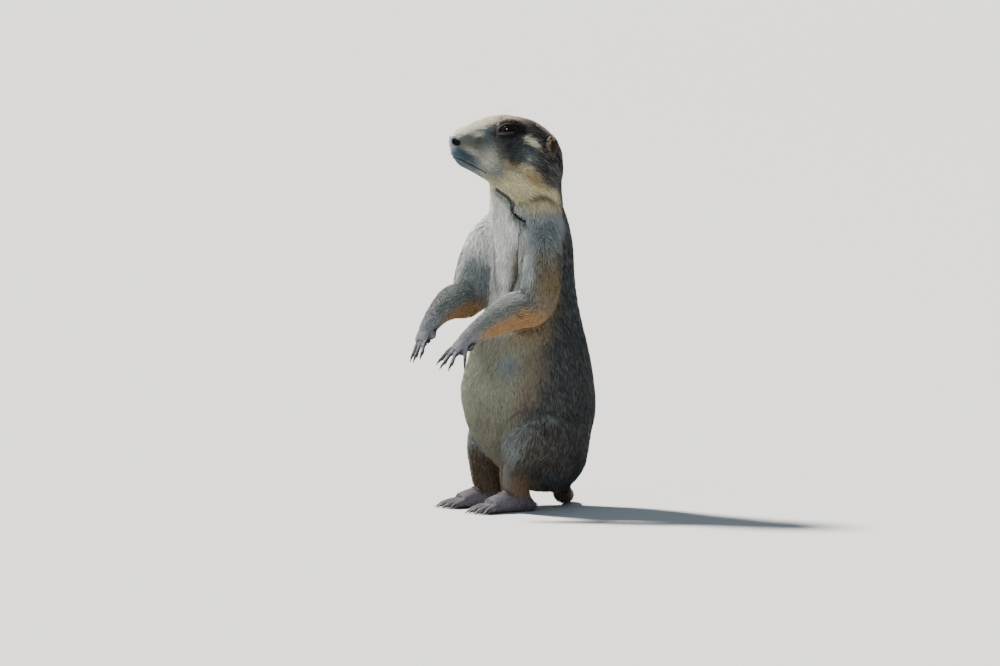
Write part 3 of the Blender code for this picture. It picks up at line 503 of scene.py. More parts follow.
def head_pieces():
    rings = []
    for back, top, bottom, half_width in smooth_rows(HEAD, 4):
        rings.append((head_point(back * MM, 0, (top + bottom) / 2 * MM), turned(HEAD_TURN, 1, 0, 0),
                      UP, half_width * MM, (top - bottom) / 2 * MM))
    pieces = [loft("skull", rings, 56)]
    turn = Matrix.Rotation(-HEAD_TURN, 3, "Z")
    for side in (1, -1):
        for name, back, out, height, radii in HEAD_MASSES:
            pieces.append(ball(name, head_point(back * MM, side * out * MM, height * MM),
                               [radius * MM for radius in radii], turn))
    return pieces


def stations(limb, side=1):
    """Places and radii along an arm, a leg or the tail."""
    rows = {"arm": ARM[side], "leg": LEG, "tail": TAIL}[limb]
    turn = CHEST_TURN if limb == "arm" else HIP_TURN
    return [(turned(turn, side * out * MM, back * MM, height * MM), radius * MM)
            for out, back, height, radius in rows]


def hand_frame(side):
    wrist = stations("arm", side)[-2][0]
    out, back, height = FINGERTIP[side]
    ahead = (turned(CHEST_TURN, side * out * MM, back * MM, height * MM) - wrist).normalized()
    spread = turned(CHEST_TURN, side, 0, 0)
    spread = (spread - ahead * spread.dot(ahead)).normalized()
    rise = ahead.cross(spread) if side > 0 else spread.cross(ahead)
    return wrist, ahead, spread, rise.normalized()


def foot_frame(side):
    turn = HIP_TURN - side * FOOT_TURN
    heel = turned(HIP_TURN, side * FOOT_SIDE, HEEL_BACK, 0)
    return heel, turned(turn, 0, -1, 0), turned(turn, side, 0, 0), UP


def digit(pieces, kind, axes, root, fan, length, droop=0.0):
    """Adds the pieces of a finger or toe, and gives its tip, its claw's direction and what is up."""
    ahead, spread, up = axes
    radius, shares, arch, curl, knuckles, size, lift, claw_rise = DIGITS[kind]
    fan, droop = math.radians(fan), math.radians(droop)
    aim = (ahead * math.cos(fan) + spread * math.sin(fan)) * math.cos(droop) - up * math.sin(droop)
    tip = root + aim * length - up * curl
    path = [root, root + aim * length * 0.5 + up * arch, tip]
    pieces.append(tube(kind, [(point, radius * share) for point, share in zip(path, shares)], sides=20))
    for share in knuckles:
        knuckle = root.lerp(tip, share) + up * lift * MM
        pieces.append(ball("knuckle", knuckle, [radius * size] * 3, sides=16))
    return tip, (aim + up * claw_rise).normalized(), up


def hand_pieces(side):
    """The palm, pads and fingers, and for each finger its tip and its claw's direction."""
    wrist, ahead, spread, up = hand_frame(side)
    rings = [(wrist + ahead * (along * MM - PALM_INSET), spread, up, half_width * MM, half_height * MM)
             for along, half_width, half_height in PALM]
    turn = Matrix((spread, ahead, up)).transposed()
    pad = wrist + ahead * 3.0 * MM - up * HEEL_DROP
    pieces = [loft("palm", rings, 32), ball("heel_pad", pad, HEEL_PAD, turn)]
    for off in PALM_PADS:
        pad = wrist + ahead * PAD_AHEAD * MM + spread * off * MM - up * PAD_DROP * MM
        pieces.append(ball("palm_pad", pad, PALM_PAD, turn))
    tips = []
    for fan, droop, length, off, set_back in FINGERS:
        root = wrist + ahead * (PALM_LENGTH - (FINGER_ROOT + set_back) * MM) + spread * off * MM
        length = (FINGER_ROOT + length) * MM
        tips.append(digit(pieces, "finger", (ahead, spread, up), root, fan, length, droop))
    root = wrist + ahead * 5 * MM - spread * 5.2 * MM - up * 1.5 * MM
    tip = root + (ahead * 0.8 - spread * 0.6 - up * 0.3) * THUMB_LENGTH
    pieces.append(tube("thumb", [(root, 2.0 * MM), (tip, 1.6 * MM)], sides=20))
    return pieces, tips


def foot_pieces(side):
    """The sole, heel and toes, and for each toe its tip and its claw's direction."""
    heel, ahead, spread, up = foot_frame(side)
    rings = [(heel + ahead * along * MM + up * (half_height - 0.7) * MM, spread, up,
              half_width * MM, half_height * MM)
             for along, half_width, half_height in smooth_rows(FOOT, 4)]
    pieces = [loft("sole", rings, 40)]
    pieces.append(ball("heel", heel + up * 4.6 * MM, (5.2 * MM, 5.2 * MM, 5.4 * MM)))
    instep = heel + ahead * 7 * MM + up * 6 * MM
    pieces.append(tube("ankle", stations("leg", side)[-2:] + [(instep, 7 * MM)]))
    tips = []
    for fan, length, off in TOES:
        root = heel + ahead * (FOOT[-1][0] - TOE_ROOT) * MM + spread * off * MM + up * 3.4 * MM
        length = (TOE_ROOT + length) * MM
        tips.append(digit(pieces, "toe", (ahead, spread, up), root, fan, length))
    return pieces, tips


def ear_frame(side):
    centre = head_point(EAR_BACK, side * EAR_SIDE, EAR_HEIGHT)
    turn = Matrix.Rotation(-HEAD_TURN, 3, "Z") @ Matrix.Rotation(side * math.radians(22), 3, "Z")
    turn = turn @ Matrix.Rotation(math.radians(-18), 3, "X")
    return centre, turn @ Matrix.Rotation(side * math.radians(-10), 3, "Y")


def eye_frame(side):
    """The eyeball's centre, and its axes: out, towards the back of the head, and up."""
    centre = head_point(EYE_BACK, side * EYE_SIDE, EYE_HEIGHT)
    flat = turned(HEAD_TURN, side * math.cos(EYE_LOOK), -math.sin(EYE_LOOK), 0)
    out = (flat * math.cos(EYE_RISE) + UP * math.sin(EYE_RISE)).normalized()
    back = turned(HEAD_TURN, 0, 1, 0)
    back = (back - out * back.dot(out)).normalized()
    up = out.cross(back) if side > 0 else back.cross(out)
    if up.z < 0:
        up.negate()
    return centre, out, back, up


def whole_form():
    """The closed form out to the tips of the coat, and the tips of the fingers and toes."""
    pieces = [trunk_piece()] + head_pieces()
    for side in (1, -1):
        pieces += [tube(limb, stations(limb, side)) for limb in ("arm", "leg")]
    pieces.append(tube("tail", stations("tail")))
    body = fuse("body", pieces, SKIN_VOXEL, BODY_SMOOTHING)
    tips = {}
    extra = [body]
    for side in (1, -1):
        for make, key in ((hand_pieces, "hand"), (foot_pieces, "foot")):
            made, tips[key, side] = make(side)
            extra += made
        centre, turn = ear_frame(side)
        extra.append(ball("ear", centre, EAR_RADII, turn))
    return fuse("skin", extra, SKIN_VOXEL, JOIN_SMOOTHING), tips


# Fields over the body, in millimetres.


def step(low, high, value):
    t = np.clip((value - low) / (high - low), 0, 1)
    return t * t * (3 - 2 * t)


def mix(a, b, share):
    return a + (b - a) * share


def tint(colour, target, share):
    """Moves an array of colours towards one colour or an array, by a share for each point."""
    return colour + (np.asarray(target) - colour) * share[:, None]


def unit(rows):
    return rows / np.maximum(np.linalg.norm(rows, axis=1), 1e-9)[:, None]


def noise(points, size, seed):
    """Smooth value noise from -1 to 1."""
    at = points / size + seed * 17.31
    cell = np.floor(at)
    part = at - cell
    part = part * part * (3 - 2 * part)
    total = np.zeros(len(points))
    for corner in range(8):
        bits = np.array([(corner >> k) & 1 for k in range(3)])
        lattice = cell + bits
        value = np.sin(lattice @ np.array([127.1, 311.7, 74.7]) + seed * 3.7) * 43758.5453
        weight = np.prod(np.where(bits, part, 1 - part), axis=1)
        total += (value - np.floor(value)) * weight
    return total * 2 - 1


def in_frame(points, centre, axes):
    """Points in millimetres as they lie along some axes, from a centre in metres."""
    return (points - np.array(centre) / MM) @ np.array(axes)


def turn_back(points, turn):
    """Points in the frame of a turned part: to the side, back and height."""
    cos, sin = np.cos(turn), np.sin(turn)
    side = points[:, 0] * cos - points[:, 1] * sin
    back = points[:, 0] * sin + points[:, 1] * cos
    return np.stack([side, back, points[:, 2]], axis=1)


def head_place(points):
    """Distance behind the nose tip, to the left and height of points of the head."""
    local = turn_back(points + np.array([0, NECK_AHEAD / MM, 0]), HEAD_TURN)
    return local[:, 1] + NOSE_AHEAD / MM, local[:, 0], local[:, 2]


def along_line(points, line):
    """Distance of points to a line, the share along it, its radius, direction and nearest point there."""
    corners = np.array([list(point / MM) for point, _ in line])
    radii = np.array([radius / MM for _, radius in line])
    lengths = np.linalg.norm(np.diff(corners, axis=0), axis=1)
    starts = np.concatenate([[0], np.cumsum(lengths)])
    count = len(points)
    found = [np.full(count, 1e9)] + [np.zeros(shape) for shape in (count, count, (count, 3), (count, 3))]
    for i, length in enumerate(lengths):
        way = (corners[i + 1] - corners[i]) / length
        t = np.clip((points - corners[i]) @ way, 0, length)
        foot = corners[i] + t[:, None] * way
        distance = np.linalg.norm(points - foot, axis=1)
        nearer = distance < found[0]
        radius = radii[i] + (radii[i + 1] - radii[i]) * t / length
        values = distance, (starts[i] + t) / starts[-1], radius, np.tile(way, (count, 1)), foot
        for kept, value in zip(found, values):
            kept[nearer] = value[nearer]
    return found


def arm_line(side):
    wrist, ahead, _, _ = hand_frame(side)
    return smooth_line(stations("arm", side)[:-1]) + [(wrist + ahead * 8 * MM, 10 * MM),
                                                      (wrist + ahead * 26 * MM, 9 * MM)]


def leg_line(side):
    heel, ahead, _, _ = foot_frame(side)
    bend = heel + ahead * 12 * MM + UP * 6 * MM
    return smooth_line(stations("leg", side)[:-1]) + [(bend, 10 * MM),
                                                      (heel + ahead * 52 * MM + UP * 3 * MM, 11 * MM)]


def seen_from_left(back, side, height):
    """Points of either side of the head as the picture shows those of the left: back and up."""
    left = np.stack([np.abs(side), back - NOSE_AHEAD / MM, height], axis=1)
    world = turn_back(left, -HEAD_TURN) - np.array([0, NECK_AHEAD / MM, 0])
    right, _, rise = camera_axes()
    return world @ np.array(right) - NOSE_SEEN, world @ np.array(rise)


class Fields:
    """What the coat does at some points of the skin: place, lie, length and colour."""

    def __init__(self, points, normals):
        self.points = points
        self.normals = normals
        self.back, self.side, self.height = head_place(points)
        height = points[:, 2]
        turn = np.interp(height, TURN_HEIGHTS, [HIP_TURN, CHEST_TURN, CHEST_TURN, HEAD_TURN])
        local = turn_back(points, turn)
        ahead = np.interp(height, [row[0] for row in TRUNK], [row[1] for row in TRUNK])
        self.azimuth = np.degrees(np.arctan2(local[:, 0], -(local[:, 1] + ahead)))
        facing = turn_back(normals, turn)
        self.facing = np.degrees(np.arctan2(facing[:, 0], -facing[:, 1])) * np.sign(self.azimuth)
        self.facing = np.where(self.facing < -120, self.facing + 360, self.facing)
        self.seen_back, self.seen_height = seen_from_left(self.back, self.side, self.height)
        self.head = step(223, 240, height + 0.10 * (self.back - 57))
        self.ragged = 1 + 0.16 * noise(points, 3.5, 9)
        self.arm = {side: self.member(arm_line(side), 3.0) for side in (1, -1)}
        self.leg = {side: self.member(leg_line(side), 4.5) for side in (1, -1)}
        self.tail = self.member(smooth_line(stations("tail")), 3.5)

    def member(self, line, margin):
        """How far points belong to a limb, the share along it, its direction and nearest point."""
        distance, share, radius, aim, nearest = along_line(self.points, line)
        return 1 - step(0, margin, distance - radius), share, aim, nearest

    def lie(self):
        """Direction of the coat: back over the head, down the body and out along the limbs."""
        flow = np.tile(np.array([0.0, 0.0, -1.0]), (len(self.points), 1))
        down = 0.18 + 0.55 * step(46, 74, self.back) + 0.3 * step(262, 240, self.height)
        to_back = np.array(turned(HEAD_TURN, 0, 1, 0))
        over_head = to_back[None, :] - down[:, None] * np.array([0, 0, 1.0])
        flow = mix(flow, unit(over_head), self.head[:, None])
        for weight, share, aim, _ in self.arm.values():
            use = weight * step(0.12, 0.42, share) * (1 - self.head)
            flow = mix(flow, aim, use[:, None])
        for weight, share, aim, _ in self.leg.values():
            use = weight * step(0.1, 0.5, share)
            flow = mix(flow, aim, use[:, None])
        weight, _, aim, _ = self.tail
        flow = mix(flow, aim, weight[:, None])
        sway = np.stack([noise(self.points, 11.0, k) for k in (1, 2, 3)], axis=1)
        flow = unit(flow) + sway * 0.11
        flow -= self.normals * np.sum(flow * self.normals, axis=1)[:, None]
        return unit(flow)

    def size(self, name):
        """A size of the coat, which is one value on the body and changes along the head and limbs."""
        body, head_rows, arm_row, leg_row, tail = COAT[name]
        value = mix(np.full(len(self.points), body), np.interp(self.back, *zip(*head_rows)), self.head)
        for weight, share, _, _ in self.arm.values():
            value = mix(value, np.interp(share, ARM_SHARES, arm_row), weight * (1 - self.head))
        for weight, share, _, _ in self.leg.values():
            value = mix(value, np.interp(share, LEG_SHARES, leg_row), weight)
        return mix(value, tail, self.tail[0])

    def patch(self, back, height, half_back, half_height, tilt=0.0, edge=2.5):
        """A soft oval on the sides of the head, which drops towards the back by tilt degrees."""
        turn = math.radians(tilt)
        ahead, up = self.seen_back - back, self.seen_height - height
        along = ahead * math.cos(turn) - up * math.sin(turn)
        across = ahead * math.sin(turn) + up * math.cos(turn)
        reach = np.sqrt((along / half_back) ** 2 + (across / half_height) ** 2) * self.ragged
        return np.exp(-reach ** edge) * self.head

    def marks(self, rows):
        """The strongest of some marks of the face, from 0 to 1."""
        return np.maximum.reduce([strength * self.patch(*row) for strength, *row in rows])

    def plain(self, colour):
        return np.tile(colour, (len(self.points), 1))

    def colour(self):
        """The markings, with painted light and shade among them, and how grizzled the coat is, from 0 to 1.

        The bare numbers here and in the next methods are heights and distances in millimetres, angles
        in degrees from straight ahead, parts of a normal, or shares of a limb, all of where a marking
        begins and ends.
        """
        height = self.points[:, 2]
        ragged = 6 * noise(self.points, 8.0, 4) + 4 * noise(self.points, 2.6, 5)
        angle = np.abs(self.azimuth) + ragged
        # Painted light: the far side, turned to the sun, has its angles shifted so it is painted paler.
        # BREAST_SHADE is painted shade on the near side and in streaks down the breast.
        facing = self.facing + ragged - 14 * (self.azimuth < 0)
        colour = self.plain(BREAST)
        shaded = 0.9 * step(22, 58, angle - 22 * (self.azimuth < 0))
        streak = step(0.1, 0.8, noise(self.points * np.array([1, 1, 0.22]), 5.0, 8))
        colour = tint(colour, BREAST_SHADE, np.clip(0.4 * streak + shaded, 0, 1))
        colour = tint(colour, NECK_BUFF, 0.8 * step(24, 62, angle) * step(220, 231, height + 0.6 * ragged))
        colour = tint(colour, BELLY, step(152, 128, height + 0.5 * ragged))
        colour = tint(colour, BELLY_LOW, step(96, 60, height))
        gold = step(16, 40, angle) * step(84, 66, angle) * step(122, 134, height) * step(150, 142, height)
        colour = tint(colour, FLANK, 0.6 * gold)
        low = 0.7 * step(40, 60, angle) * step(60, 85, height) * step(140, 120, height)
        colour = tint(colour, FLANK_LOW, low)
        # Painted shadow: a blue-grey patch on the near side of the belly, below the forearm.
        forearm_shadow = ((self.azimuth - 34) / 8) ** 2 + ((height - 113) / 7) ** 2
        colour = tint(colour, BELLY_SHADOW_BLUE, 0.6 * np.exp(-forearm_shadow))
        tan = step(0, 28, facing) * step(128, 150, height) * step(206, 186, height)
        colour = tint(colour, SIDE_TAN, tan)
        brown = step(26, 54, facing) * step(132, 150, height) * step(192, 176, height)
        colour = tint(colour, ARM_BROWN, 0.9 * brown)
        back = step(-13, 12, angle - np.interp(height, *zip(*BACK_EDGE)))
        colour = tint(colour, BACK_MEAN, back)
        colour = tint(colour, BACK_LOW, 0.85 * back * step(150, 95, height))
        grizzle = np.clip(back + 0.25 * tan, 0, 1)
        colour = self.head_colour(colour, grizzle)
        for side in (1, -1):
            colour = self.arm_colour(colour, grizzle, side)
        for side in (1, -1):
            colour = self.leg_colour(colour, grizzle, side)
        weight, share, _, _ = self.tail
        tail = tint(self.plain(TAIL_BROWN), TAIL_TIP, step(0.5, 0.72, share))
        grizzle *= 1 - 0.85 * weight
        colour = tint(colour, tail, weight)
        # Painted highlight along the ridge of each thigh.
        colour = tint(colour, LEG_FRONT, 0.85 * self.thigh_highlight())
        shade = 1 + 0.09 * noise(self.points, 5.0, 6) + 0.07 * noise(self.points, 1.6, 7)
        return np.clip(colour * shade[:, None], 0, 1), np.clip(grizzle, 0, 1)

    def head_colour(self, colour, grizzle):
        """The markings of the head, with painted shade on its sides and painted sunlight on its top and
        front, over a colour; the grizzled share changes in its own array.
        """
        side, back, height = np.abs(self.side), self.seen_back, self.seen_height
        face = self.plain(FACE_GREY)
        low = step(247, 236, height + 0.12 * (back - 40))
        face = tint(face, MUZZLE_GOLD, 0.75 * self.patch(17, 266.5, 12, 5.5, 4, 3))
        face = tint(face, CHEEK, step(34, 46, back) * step(257, 248, height))
        face = tint(face, THROAT, low)
        rear = step(60, 70, back + 0.5 * (height - 245)) * step(234, 241, height)
        behind = np.abs(self.azimuth) - 140 + 8 * noise(self.points, 5.0, 4)
        rear = np.maximum(rear, step(-12, 10, behind))
        face = tint(face, BACK_MEAN, rear)
        rough = 1.3 * noise(self.points, 2.2, 21)
        # The pale forehead and top of the muzzle are partly pale fur, partly painted sunlight.
        ridge = step(-2.5, 2, height - np.interp(back, *zip(*FOREHEAD_EDGE)) + rough)
        face = tint(face, FOREHEAD, ridge * step(58, 34, back))
        top = step(274, 282, height + 0.35 * np.maximum(back - 50, 0)) * step(20, 12, side)
        face = tint(face, CROWN, top * step(26, 40, back))
        # Dark side of the head: partly dark fur, partly painted shade.
        at, low_edge, high_edge = zip(*SIDE_DARK_AND_SHADE)
        side_dark_and_shade = step(-2, 2, height - np.interp(back, at, low_edge) + rough) * step(24, 35, back)
        side_dark_and_shade *= step(1.5, -1.5, height - np.interp(back, at, high_edge) + rough)
        side_dark_and_shade *= 1 - 0.5 * self.patch(58, 260, 7, 3.5, 30, 3)
        dark = np.maximum(self.marks(DARK_AND_SHADE_MARKS), 0.8 * side_dark_and_shade) * step(5, 9, side + 0.15 * back)
        face = tint(face, FACE_DARK, np.clip(dark, 0, 1))
        face = tint(face, FACE_GREY, 0.4 * self.patch(58, 259, 8, 5, 35, 3))
        face = tint(face, FLANK, self.marks(GOLD_MARKS) * (1 - 0.7 * rear))
        pale = self.marks(PALE_MARKS) * step(5, 9, side)
        face = tint(face, SPOT, pale)
        # Lips: partly dark, partly painted shade.
        face = tint(face, BLUE_DARK_AND_SHADE, self.marks(LIP_SHADE_MARKS))
        face = tint(face, SPOT, 0.6 * self.patch(29.5, 255.5, 7.5, 8.5, 20, 2))
        face = tint(face, SPOT, 0.5 * self.patch(17, 261.5, 7, 2.2, 26, 3))
        # The front of the muzzle is painted pale: partly pale fur, partly painted sunlight on its front.
        face = tint(face, SPOT, 0.8 * step(3.5, 1.0, back))
        grizzled = self.head * np.clip(0.75 * rear + 0.28, 0, 1)
        grizzle *= 1 - self.head
        grizzle += grizzled * (1 - 0.7 * low) * (1 - pale) * (1 - 0.65 * top)
        grizzle *= 1 - 0.6 * self.head * dark * (1 - rear)
        return tint(colour, face, self.head)

    def arm_colour(self, colour, grizzle, side):
        """The markings of one arm and hand, with painted shade on the inner side, the sides and between the
        fingers and painted light on the top, in the same way.
        """
        weight, share, _, _ = self.arm[side]
        steep = self.normals[:, 2]
        wrist, ahead, _, up = hand_frame(side)
        reach = in_frame(self.points, wrist, ahead)
        top = self.normals @ np.array(up)
        outward = self.normals @ np.array(turned(CHEST_TURN, side, 0, 0))
        # Painted shade: the inner side of the upper arm, turned to the midline, is painted grey.
        inner = weight * (1 - self.head) * step(0.12, 0.24, share) * step(0.45, -0.2, outward)
        colour = tint(colour, ARM_INNER_SHADE, 0.85 * inner)
        # Blue-grey streaks on the sides of the arm, kept off its top, are partly streaky hair and partly
        # painted shade; the top is painted a little paler as painted light.
        streak = step(0.0, 0.7, noise(self.points * np.array([0.5, 0.5, 1.6]), 3.0, 15))
        arm = tint(self.plain(ARM_GREY), BLUE_DARK_AND_SHADE, 0.4 * streak * step(0.9, 0.4, steep))
        arm = tint(arm, BREAST, 0.12 * step(0.45, 0.95, steep))
        gold = step(0.25, -0.55, steep - 0.25 * step(0.62, 0.45, share))
        arm = tint(arm, ORANGE, 0.92 * gold * step(0.34, 0.44, share) * step(0.80, 0.68, share))
        arm = tint(arm, HAND_PALE, 0.8 * step(0.70, 0.82, share))
        # Dark pads under the hand and dark fingertips, and painted shade on the sides of the fingers and
        # between them.
        reach = reach + 0.8 * noise(self.points, 1.5, 14)
        under = np.maximum(step(22, 27, reach), step(0.15, -0.4, top) * step(-6, 3, reach))
        under = np.maximum(under, step(0.75, 0.2, top) * step(8, 12, reach))
        arm = tint(arm, PAD_DARK, 0.95 * under)
        on = weight * (1 - self.head) * step(0.3, 0.46, share)
        grizzle *= 1 - on
        grizzle += 0.32 * on * (1 - under)
        return tint(colour, arm, on)

    def leg_colour(self, colour, grizzle, side):
        """The markings of one leg and foot, with painted shade on the inner side, in the same way."""
        weight, share, _, _ = self.leg[side]
        forward = -(self.normals @ np.array(turned(HIP_TURN, 0, 1, 0)))
        outward = self.normals @ np.array(turned(HIP_TURN, side, 0, 0))
        front = step(0.35, 0.9, forward + 0.3 * self.normals[:, 2])
        # Painted shade: the inner side of the leg, turned to the midline, is painted dark brown.
        inner = step(0.3, -0.3, outward) * step(0.3, 0.4, share) * step(0.66, 0.58, share)
        leg = tint(self.plain(THIGH), SHANK, step(0.34, 0.56, share))
        leg = tint(leg, LEG_FRONT, 0.5 * front * step(0.62, 0.5, share) * step(-0.3, 0.15, outward))
        leg = tint(leg, LEG_INNER_SHADE, inner)
        leg = tint(leg, FOOT_TOP, step(0.58, 0.66, share))
        foot = step(13, 9, self.points[:, 2]) * self.near_foot(side)
        leg = tint(leg, FOOT_TOP, foot)
        on = np.maximum(weight * step(0.0, 0.25, share), foot)
        grizzle *= 1 - on * step(0.4, 0.6, share)
        grizzle += 0.15 * on
        return tint(colour, leg, on)

    def thigh_highlight(self):
        """Painted highlight: the pale band along the ridge at the front of each thigh, from 0 to 1."""
        rim = np.zeros(len(self.points))
        for side in (1, -1):
            middle = np.array(turned(HIP_TURN, side * THIGH_AT[0], THIGH_AT[1], THIGH_AT[2]))
            off = turn_back(self.points - middle, HIP_TURN)
            reach = np.hypot(off[:, 1], off[:, 2])
            turn = np.degrees(np.arctan2(-off[:, 1], off[:, 2]))
            band = np.exp(-((reach - THIGH_RIM) / 2.6) ** 2) * step(-40, 0, turn) * step(128, 100, turn)
            outward = self.points @ np.array(turned(HIP_TURN, side, 0, 0))
            rim = np.maximum(rim, band * step(8, 16, outward))
        return rim

    def near_foot(self, side):
        """Points over the sole of one foot, from 0 to 1."""
        heel, ahead, spread, _ = foot_frame(side)
        along, across = in_frame(self.points, heel, ahead), in_frame(self.points, heel, spread)
        return step(-14, -10, along) * step(64, 60, along) * step(17, 14, np.abs(across))


# Skin.


def read_rows(items, name, kind=float):
    """A value of three numbers, for every vertex, face or triangle."""
    rows = np.empty(len(items) * 3, kind)
    items.foreach_get(name, rows)
    return rows.reshape(-1, 3)


def read_mesh(mesh):
    """Vertex places in millimetres and vertex normals."""
    return read_rows(mesh.vertices, "co") / MM, read_rows(mesh.vertex_normals, "vector")


def write_points(mesh, points):
    mesh.vertices.foreach_set("co", (points * MM).ravel())
    mesh.update()


def split_finer(mesh, chosen):
    """Splits the faces that chosen marks into four, for the small forms of the face."""
    shape = bmesh.new()
    shape.from_mesh(mesh)
    shape.faces.ensure_lookup_table()
    faces = [face for face, use in zip(shape.faces, chosen) if use]
    edges = list({edge for face in faces for edge in face.edges})
    bmesh.ops.subdivide_edges(shape, edges=edges, cuts=1, use_grid_fill=True)
    shape.to_mesh(mesh)
    shape.free()


def head_shape(points, normals):
    """Soft swellings and hollows of the head, on both sides."""
    back, side, height = head_place(points)
    move = np.zeros(len(points))
    for at_back, at_side, at_height, radii, amount in FACE:
        reach = ((back - at_back) / radii[1]) ** 2 + ((np.abs(side) - at_side) / radii[0]) ** 2
        reach += ((height - at_height) / radii[2]) ** 2
        move += amount * np.exp(-reach)
    return points + normals * move[:, None]


def met(tree, rays):
    """Where rays, each a start and a direction, meet the surface, in millimetres."""
    found = [tree.ray_cast(start, aim)[0] for start, aim in rays]
    return np.array([list(hit / MM) for hit in found if hit is not None])


def mouth_line(tree):
    """The line of the mouth, from corner to corner."""
    halves = []
    for side in (1, -1):
        rays = []
        for fan, back, height in smooth_rows(MOUTH, 8):
            aim = turned(HEAD_TURN, -side * math.sin(math.radians(fan)), math.cos(math.radians(fan)), 0)
            rays.append((head_point(back * MM, 0, height * MM) - aim * 80 * MM, aim))
        halves.append(met(tree, rays))
    return np.concatenate([halves[0][::-1], halves[1][1:]])


def line_distance(points, line, reach=LINE_REACH):
    """Distance to a line of points, and for the points that are farther away the reach itself."""
    low, high = line.min(0) - reach, line.max(0) + reach
    near = np.all((points > low) & (points < high), axis=1)
    distance = np.full(len(points), reach)
    if near.any():
        some = points[near]
        best = np.full(len(some), reach)
        for a, b in zip(line, line[1:]):
            way = b - a
            t = np.clip(((some - a) @ way) / max(way @ way, 1e-9), 0, 1)
            best = np.minimum(best, np.linalg.norm(some - a - t[:, None] * way, axis=1))
        distance[near] = best
    return distance


def seen_line(tree, rows):
    """A line over the surface, from rows of places as the camera's side sees them."""
    right, aim, rise = camera_axes()
    return met(tree, [(right * across * MM + rise * height * MM + aim * 200 * MM, -aim)
                      for across, height in smooth_rows(rows, 6)])


def mirrored(tree, line, turn):
    """The same line on the other side of a part that is turned."""
    local = turn_back(line, turn)
    world = turn_back(local * np.array([-1, 1, 1]), -turn)
    return np.array([list(tree.find_nearest(Vector(point * MM))[0] / MM) for point in world])


def camera_axes():
    """To the right, towards the camera and up, as the camera sees them."""
    right = Vector((math.cos(CAMERA_TURN), math.sin(CAMERA_TURN), 0))
    toward = Vector((math.sin(CAMERA_TURN), -math.cos(CAMERA_TURN), 0))
    aim = toward * math.cos(CAMERA_RISE) + UP * math.sin(CAMERA_RISE)
    return right, aim, aim.cross(right)


def tree_of(mesh):
    return BVHTree.FromPolygons([v.co for v in mesh.vertices], [p.vertices for p in mesh.polygons])


def nostril_line(tree, side):
    """A comma-shaped slit, on one side of the nose."""
    return met(tree, [(head_point(back * MM, side * 40 * MM, height * MM), turned(HEAD_TURN, -side, 0, 0))
                      for back, height in smooth_rows(NOSTRIL, 3)])


def ear_cup(points, side):
    """Carves the cup of an ear."""
    centre, turn = ear_frame(side)
    cup = centre + turn @ Vector((side * CUP_OUT, -0.9 * MM, -0.6 * MM))
    axes = np.array(turn.to_3x3())
    local = in_frame(points, cup, axes)
    radii = np.array(CUP_RADII) / MM * np.array([1.15, 0.95, 0.95])
    scaled = local / radii
    flat = scaled[:, 1] ** 2 + scaled[:, 2] ** 2
    inside = (flat < 1) & (scaled[:, 0] * side > -0.9) & (np.abs(scaled[:, 0]) < 1.6)
    floor = -np.sqrt(np.clip(1 - flat, 0, 1)) * side
    local[inside, 0] = floor[inside] * radii[0]
    moved = points.copy()
    moved[inside] = (local @ axes.T + np.array(cup) / MM)[inside]
    return moved


def eye_place(points, side):
    """Points in an eye's frame: towards the back, up and out, in millimetres."""
    centre, out, back, up = eye_frame(side)
    axes = np.array([list(back), list(up), list(out)]).T
    return in_frame(points, centre, axes), axes, np.array(centre) / MM


def almond(back, up):
    """Below 1 inside the opening of the lids."""
    half_height = np.where(up > 0, LID_HALF_HEIGHT, LID_HALF_HEIGHT * LOWER_LID) / MM
    return np.sqrt((back / (LID_HALF_LENGTH / MM)) ** 2 + (up / half_height) ** 2)


def open_eye(points, side):
    """Sinks the skin behind the eyeball inside the opening of the lids."""
    local, axes, centre = eye_place(points, side)
    near = (local[:, 2] > 0) & (local[:, 2] < 16)
    inside = near & (almond(local[:, 0], local[:, 1]) < 1.28)
    local[inside, 2] = -1.0
    moved = points.copy()
    moved[inside] = (local @ axes.T + centre)[inside]
    return moved


